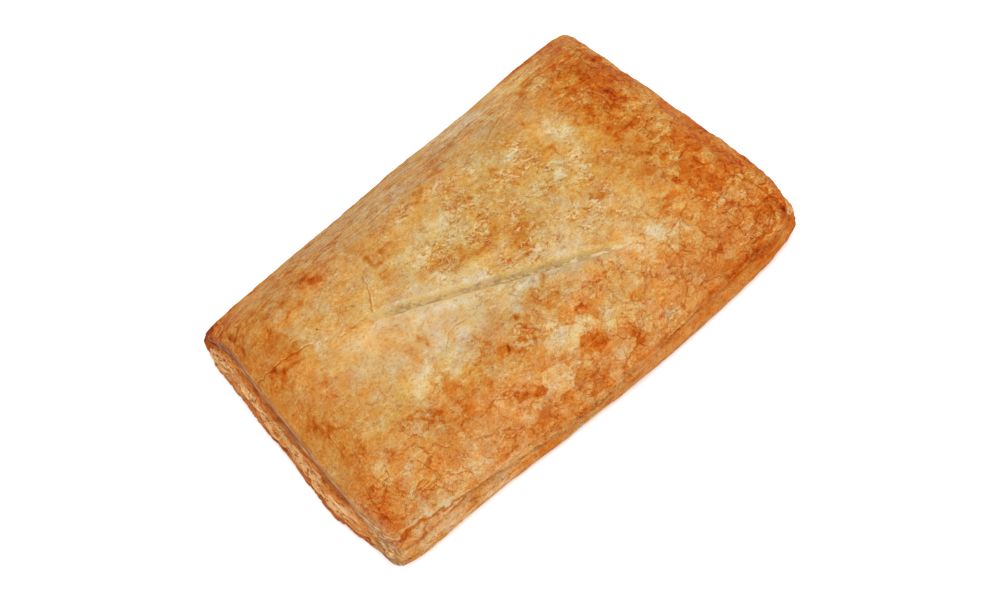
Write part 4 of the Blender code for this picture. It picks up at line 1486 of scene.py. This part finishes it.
def speckled(f):
    """Fine specks, threads and dots, quieter where the crust is calm."""
    lively = 1.0 - 0.60 * f["calm"]
    drawn = f["middling"].between(0.1, 0.4)
    tone = 0.006 * f["broad"] + 0.006 * f["middling"] + 0.010 * f["fine"] + 0.020 * f["grain"]
    tone += 0.060 * f["fleck"].between(0.80, 0.88) - 0.060 * (1.0 - f["fleck"].between(-0.88, -0.80))
    tone -= 0.090 * (1.0 - f["dot"].between(-1.35, -1.15)) + 0.080 * f["thread"].near(0.75, 0.34) * drawn
    stroke = 0.30 * lively * f["thread"].near(0.15, 0.30) * drawn + 0.42 * f["dot"].between(1.20, 1.36)
    height = 0.6 * f["fine"] + 0.45 * f["grain"] - 0.6 * f["thread"].near(0.15, 0.2) * drawn
    return lively * tone, stroke, lively * height


def browned_steps(f):
    """Placed browning, which rises in soft steps."""
    browned = f["browned"] * (1.0 + 0.12 * f["fleck"]) + 0.012 * f["ragged"]
    return 0.044 * sum(browned.between(level, level + 0.010) for level in BROWNED_LEVELS)


def leaf_looks(s, f):
    """Leaves and scales of the sheet, with lines on their borders, and the gaps between leaves."""
    ragged, patchy = f["ragged"], f["patchy"]
    leaf = f["leaf"] + 0.05 * ragged
    low_leaf, mid_leaf, high_leaf = (leaf.between(level - 0.02, level + 0.02) for level in LEAF_LEVELS)
    middle = LEAF_LEVELS[1]
    island, island_lit, island_shaded = s.steps(*CRUST_STEPS["island"])
    large_place = s.moved(*LARGE_SCALE_MOVE)
    small_place = s.moved(*SMALL_SCALE_MOVE)
    large = s.cells(large_place, LARGE_SCALE, "DISTANCE_TO_EDGE") - LARGE_SCALE_RAGGED * ragged
    small = s.cells(small_place, SMALL_SCALE, "DISTANCE_TO_EDGE") - SMALL_SCALE_RAGGED * ragged
    net = (1.0 - large.between(*LARGE_SCALE_LINE)) * patchy.between(-0.4, 0.0)
    small_net = (1.0 - small.between(*SMALL_SCALE_LINE)) * f["broad"].between(0.3, 0.6)
    vein = (f["vein"] + 0.04 * ragged).near(0.1, 0.12) * patchy.between(-0.4, 0.2)
    leaf_edge = leaf.near(middle - 0.03, 0.07) * patchy.between(-0.8, -0.2)
    gap = 1.0 - mid_leaf
    tone = 0.04 * gap + 0.03 * (1.0 - low_leaf) - 0.04 * high_leaf - 0.045
    # Painted highlight on the islands' lit edges; their shaded edges go into the strokes as painted shade
    tone += 0.05 * (1.0 - island) - 0.05 * island_lit
    tone += 0.12 * (s.cell_shade(large_place, LARGE_SCALE) - 0.5)
    tone += 0.08 * (s.cell_shade(small_place, SMALL_SCALE) - 0.5)
    stroke = 0.42 * island_shaded + 0.60 * net + 0.35 * small_net + 0.60 * vein + 0.30 * leaf_edge
    height = 0.8 * leaf.between(middle - 0.05, middle + 0.05) - f["leafy"] * net - vein
    return [f["leafy"] * part for part in (tone, stroke, height, gap)]


def flake_looks(s, f):
    """Flakes and scabs with painted highlight and painted shade on their edges, and the placed leaves with
    their ragged borders.
    """
    flake, flake_lit, flake_shaded = s.steps(*CRUST_STEPS["flake"])
    scab, scab_lit, scab_shaded = s.steps(*CRUST_STEPS["scab"])
    depth = f["within"] + 0.45 * f["ragged"]
    tone = f["flaky"] * (0.09 * scab - 0.06 * flake - 0.16 * flake_lit - 0.10 * scab_lit)
    tone += 1.5 * f["browner"] * depth.between(-0.4, 0.4) * (1.0 + 0.15 * f["fleck"])
    stroke = f["flaky"] * (0.85 * flake_shaded + 0.60 * scab_shaded)
    stroke += 0.40 * depth.near(-0.4, 0.8) * f["on_top"] * f["patchy"].between(-1.0, -0.4)
    return tone, stroke, 0.6 * flake * f["flaky"]


def fold_looks(s, f):
    """Folds of the puffed and wrinkled middle, with painted shade and painted highlights on their edges."""
    folded = f["puffed"].between(-0.5, 0.2) * f["wrinkled"].between(0.05, 0.45)
    chip, chip_lit, chip_shaded = s.steps(*CRUST_STEPS["chip"])
    fold, fold_lit, fold_shaded = s.steps(*CRUST_STEPS["fold"])
    crinkle, crinkle_lit, crinkle_shaded = s.steps(*CRUST_STEPS["crinkle"])
    tone = 0.06 - 0.07 * chip - 0.06 * fold
    stroke = 0.45 * chip_shaded + 0.50 * fold_shaded + 0.40 * crinkle_shaded
    height = 0.8 * chip + 0.8 * fold + 0.6 * crinkle
    painted_glint = (0.6 * chip_lit + fold_lit + 0.8 * crinkle_lit).held() * (1.0 - 0.7 * f["leafy"])
    return [folded * part for part in (tone, stroke, height, painted_glint)]


def line_looks(f):
    """Lines of the far slope, streaks of the sides, cracks with a painted highlight along one side, and the
    near side's crease.
    """
    ragged, lines = f["ragged"], f["lines"]
    slope_line = f["slope"] * (lines.between(0.75, 0.90) + 0.7 * lines.near(-0.2, 0.15))
    from_crack = f["crack"] + 0.12 * ragged
    crack = from_crack.near(0.0, 1.0) * f["cracked"]
    crease = (f["fold"] + 0.25 * ragged).near(-0.3, 1.0) * f["folded"]
    tone = 0.08 * (f["streak"] + 0.10 * ragged).between(0.6, 0.9) * (1.0 - f["on_top"])
    tone -= 0.10 * f["slope"] * (1.0 - lines.between(-1.0, -0.9))
    # Painted highlight: a lit line along one side of each crack
    tone -= 0.45 * from_crack.near(1.5, 1.0) * f["cracked"]
    return tone, 0.50 * slope_line + 2.6 * crack + crease, slope_line, crack, crease


def slit_looks(s, f):
    """The torn crumb along the slit: how far it shows, and its colour."""
    ragged, patchy, speck = f["ragged"], f["patchy"], f["speck"]
    across = (f["slit"] + 0.08 * ragged + 0.10 * f["broad"]) * (0.5 / SLIT_SPAN) + 0.5
    torn = (across.near(0.66, 0.070) + 0.7 * across.near(0.82, 0.045)) * patchy.between(-0.8, 0.2)
    seam = across.between(0.27, 0.36) * (1.0 - across.between(0.60, 0.72))
    grey = seam * f["grey"] * speck.between(-0.35, 0.25) * across.between(0.32, 0.42)
    whitened = (0.34 + 0.36 * f["white"] - across).between(-0.06, 0.06)
    white = seam * f["white"] * (1.0 - speck.between(-0.2, 0.5)) * whitened
    rim = across.near(0.35, 0.060) * (0.4 + 0.6 * patchy.between(-1.2, -0.2))
    parts = (
        (0.45 * torn, SLIT_LINE),
        (0.8 * seam, SEAM_COLOUR),
        (0.8 * grey, SEAM_GREY),
        (0.7 * white, SEAM_WHITE),
        (0.6 * rim, SEAM_RIM),
    )
    crumb = s.ramp(across + 0.02 * f["grain"], SLIT_COLOURS)
    for factor, colour in parts:
        crumb = s.blend(factor, crumb, linear(colour))
    mouth = 1.0 - (f["slit"] + 0.10 * ragged).size().between(0.85, 1.35)
    return mouth * f["slit_on"].between(0.0, 0.6) * (0.45 + 0.55 * seam), crumb


def crust_material(names):
    """Egg-washed crust: browned in clouds and leaves, with veins, wrinkles, cracks and the slit."""
    s = Shader("crust")
    f = {name: s.field(name) for name in names}
    f.update((name, s.noise(*settings)) for name, settings in CRUST_NOISES.items())
    border = f["sheet"] + 0.35 * f["ragged"]
    sheet = border.between(-0.2, 0.2) * (1.0 - 0.6 * f["dot"].between(0.9, 1.1))
    pinhole = s.spots(*PINHOLES) * f["on_top"]
    leaf_tone, leaf_stroke, leaf_height, gap = leaf_looks(s, f)
    fold_tone, fold_stroke, fold_height, painted_glint = fold_looks(s, f)
    line_tone, line_stroke, slope_line, crack, crease = line_looks(f)
    tone = f["bake"] + browned_steps(f) + leaf_tone + fold_tone + line_tone + 0.16 * sheet
    stroke = leaf_stroke + fold_stroke + line_stroke + 0.45 * border.near(0.6, 0.7)
    height = leaf_height + fold_height - 3.0 * crack - 5.0 * pinhole - sheet
    for added_tone, added_stroke, added_height in (speckled(f), flake_looks(s, f)):
        tone += added_tone
        stroke += added_stroke
        height += added_height

    redder = 0.8 * f["rosy"] * tone.between(0.10, 0.36) + 0.6 * sheet + 0.8 * f["tanned"] + 0.8 * crease
    redder += (0.3 * gap + 0.6 * stroke) * tone.between(0.30, 0.50)
    warmer = 0.35 * f["hue"] + 0.15 * f["grain"]
    tints = (
        (stroke, STROKE_TINT),
        (f["orange"] + 0.8 * sheet + 0.2 * f["tanned"], ORANGE_TINT),
        (redder, ROSY_TINT),
        (f["grey_and_sheen"] + 0.5 * slope_line, GREY_AND_SHEEN_TINT),
        (f["olive"], OLIVE_TINT),
        (warmer, WARM_TINT),
        (-1.0 * warmer, COOL_TINT),
    )
    covers = (
        # Painted highlight on the wrinkles' lit edges
        (0.50 * painted_glint, linear(WRINKLE_GLINT_COLOUR)),
        slit_looks(s, f),
        (f["core"], linear(CORE_COLOUR)),
        # The lip's purplish lines, partly painted highlight on its edge and painted shade in the crevice
        # below
        (0.9 * f["lip"], s.ramp(f["lined"] * 0.22 + 0.5, LIP_COLOURS)),
        (0.85 * f["striated"], s.ramp(f["slanted"] * 0.25 + 0.5, STRIATED_COLOURS)),
        (pinhole, linear(PINHOLE_COLOUR)),
    )
    colour = s.ramp(tone, BAKE_COLOURS)
    for factor, tint in tints:
        colour = s.tinted(factor, colour, tint)
    for factor, cover in covers:
        colour = s.blend(factor, colour, cover)
    return s.finish(colour, CRUST_ROUGHNESS - 0.12 * painted_glint + 0.02 * f["grain"], height, CRUST_BUMP)


def layers_material():
    """The bared layers of dough, flaky and unevenly browned, with pores between them."""
    s = Shader("layers")
    tint, tip = s.field("tint"), s.field("tip")
    broad, fine, grain, opening = (s.noise(*settings) for settings in LAYER_NOISES.values())
    place = (tint + 0.04 * broad + 0.025 * fine).held()
    colour = s.ramp(place, LAYER_COLOURS)
    inner = place.between(0.22, 0.28) * (1.0 - place.between(0.54, 0.60))
    open_here = opening.between(-0.9, 0.3)
    middle = s.cells(s.moved(*PORE_MOVE), PORE_CELL)
    hole = (1.0 - middle.between(*PORE_HOLE)) * inner * open_here
    wall = middle.between(*PORE_WALL) * inner * open_here
    colour = s.blend(inner * (1.0 - open_here) * 0.8, colour, linear(SMOOTH_LAYER_COLOUR))
    colour = s.blend(0.95 * hole, colour, linear(HOLE_COLOUR))
    colour = s.blend(0.70 * wall, colour, linear(WALL_COLOUR))
    shade = s.ramp(0.5 + 0.20 * fine + 0.12 * grain + 0.10 * (tip - 0.5), SHADES)
    height = 0.6 * fine + 0.3 * grain - 0.7 * hole
    return s.finish(s.tinted(1.0, colour, shade), LAYERS_ROUGHNESS + 0.02 * grain, height, LAYERS_BUMP)


# Floor, light and camera

FLOOR_SIZE = 6.0
FLOOR_COLOUR = (0.93, 0.93, 0.93, 1.0)
FLOOR_ROUGHNESS = 0.9
WORLD_COLOUR = (1.0, 1.0, 1.0, 1.0)
WORLD_STRENGTH = 0.72

# Camera at the photograph's view: the part is turned and the camera leans as it is held
CAMERA_ELEVATION = 62.0
CAMERA_TURN = 23.0
CAMERA_ROLL = -20.0
CAMERA_TARGET = (-0.0033, -0.0048, 0.0)
CAMERA_DISTANCE = 0.4151
CAMERA_LENS = 40.07
CAMERA_SENSOR = 36.0
CAMERA_NEAREST = 0.01

# The lights, with their place, size and power
LIGHTS = {
    "key": ((0.15, -0.40, 0.85), 0.80, 5.8),
    "fill": ((-0.55, -0.10, 0.60), 0.70, 2.5),
    "back": ((0.32, 0.50, 0.55), 0.70, 2.8),
}


def make_floor():
    """A plain pale floor that the pastry lies on."""
    bpy.ops.mesh.primitive_plane_add(size=FLOOR_SIZE, location=(0.0, 0.0, 0.0))
    floor = bpy.context.active_object
    floor.name = "floor"
    material = bpy.data.materials.new("floor")
    material.use_nodes = True
    surface = material.node_tree.nodes["Principled BSDF"]
    surface.inputs["Base Color"].default_value = FLOOR_COLOUR
    surface.inputs["Roughness"].default_value = FLOOR_ROUGHNESS
    surface.inputs["Specular IOR Level"].default_value = 0.0
    floor.data.materials.append(material)


def make_light(name, place, size, power):
    """A soft square light that faces the pastry."""
    data = bpy.data.lights.new(name, "AREA")
    data.size = size
    data.energy = power
    light = bpy.data.objects.new(name, data)
    light.location = place
    light.rotation_euler = (-Vector(place)).to_track_quat("-Z", "Y").to_euler()
    bpy.context.scene.collection.objects.link(light)


def make_world():
    """An even white surround."""
    world = bpy.data.worlds.new("studio")
    world.use_nodes = True
    background = world.node_tree.nodes["Background"]
    background.inputs["Color"].default_value = WORLD_COLOUR
    background.inputs["Strength"].default_value = WORLD_STRENGTH
    bpy.context.scene.world = world


def make_camera():
    """The camera at the photograph's place and tilt."""
    elevation, turn, roll = (math.radians(a) for a in (CAMERA_ELEVATION, CAMERA_TURN, CAMERA_ROLL))
    back = Vector((-math.sin(turn) * math.cos(elevation), -math.cos(turn) * math.cos(elevation),
                   math.sin(elevation)))
    level = Vector((math.cos(turn), -math.sin(turn), 0.0))
    upright = back.cross(level)
    right = level * math.cos(roll) + upright * math.sin(roll)
    up = back.cross(right)
    place = Vector(CAMERA_TARGET) + back * CAMERA_DISTANCE
    data = bpy.data.cameras.new("camera")
    data.sensor_width = CAMERA_SENSOR
    data.lens = CAMERA_LENS
    data.clip_start = CAMERA_NEAREST
    camera = bpy.data.objects.new("camera", data)
    camera.matrix_world = Matrix.Translation(place) @ Matrix((right, up, back)).transposed().to_4x4()
    bpy.context.scene.collection.objects.link(camera)
    bpy.context.scene.camera = camera


def main():
    bpy.context.scene.view_settings.view_transform = "Standard"
    make_world()
    make_floor()
    for name, light in LIGHTS.items():
        make_light(name, *light)
    make_camera()
    rim = make_crust()
    layers = layers_material()
    for end in LAYER_COUNTS:
        make_layers(rim, end, layers)


main()
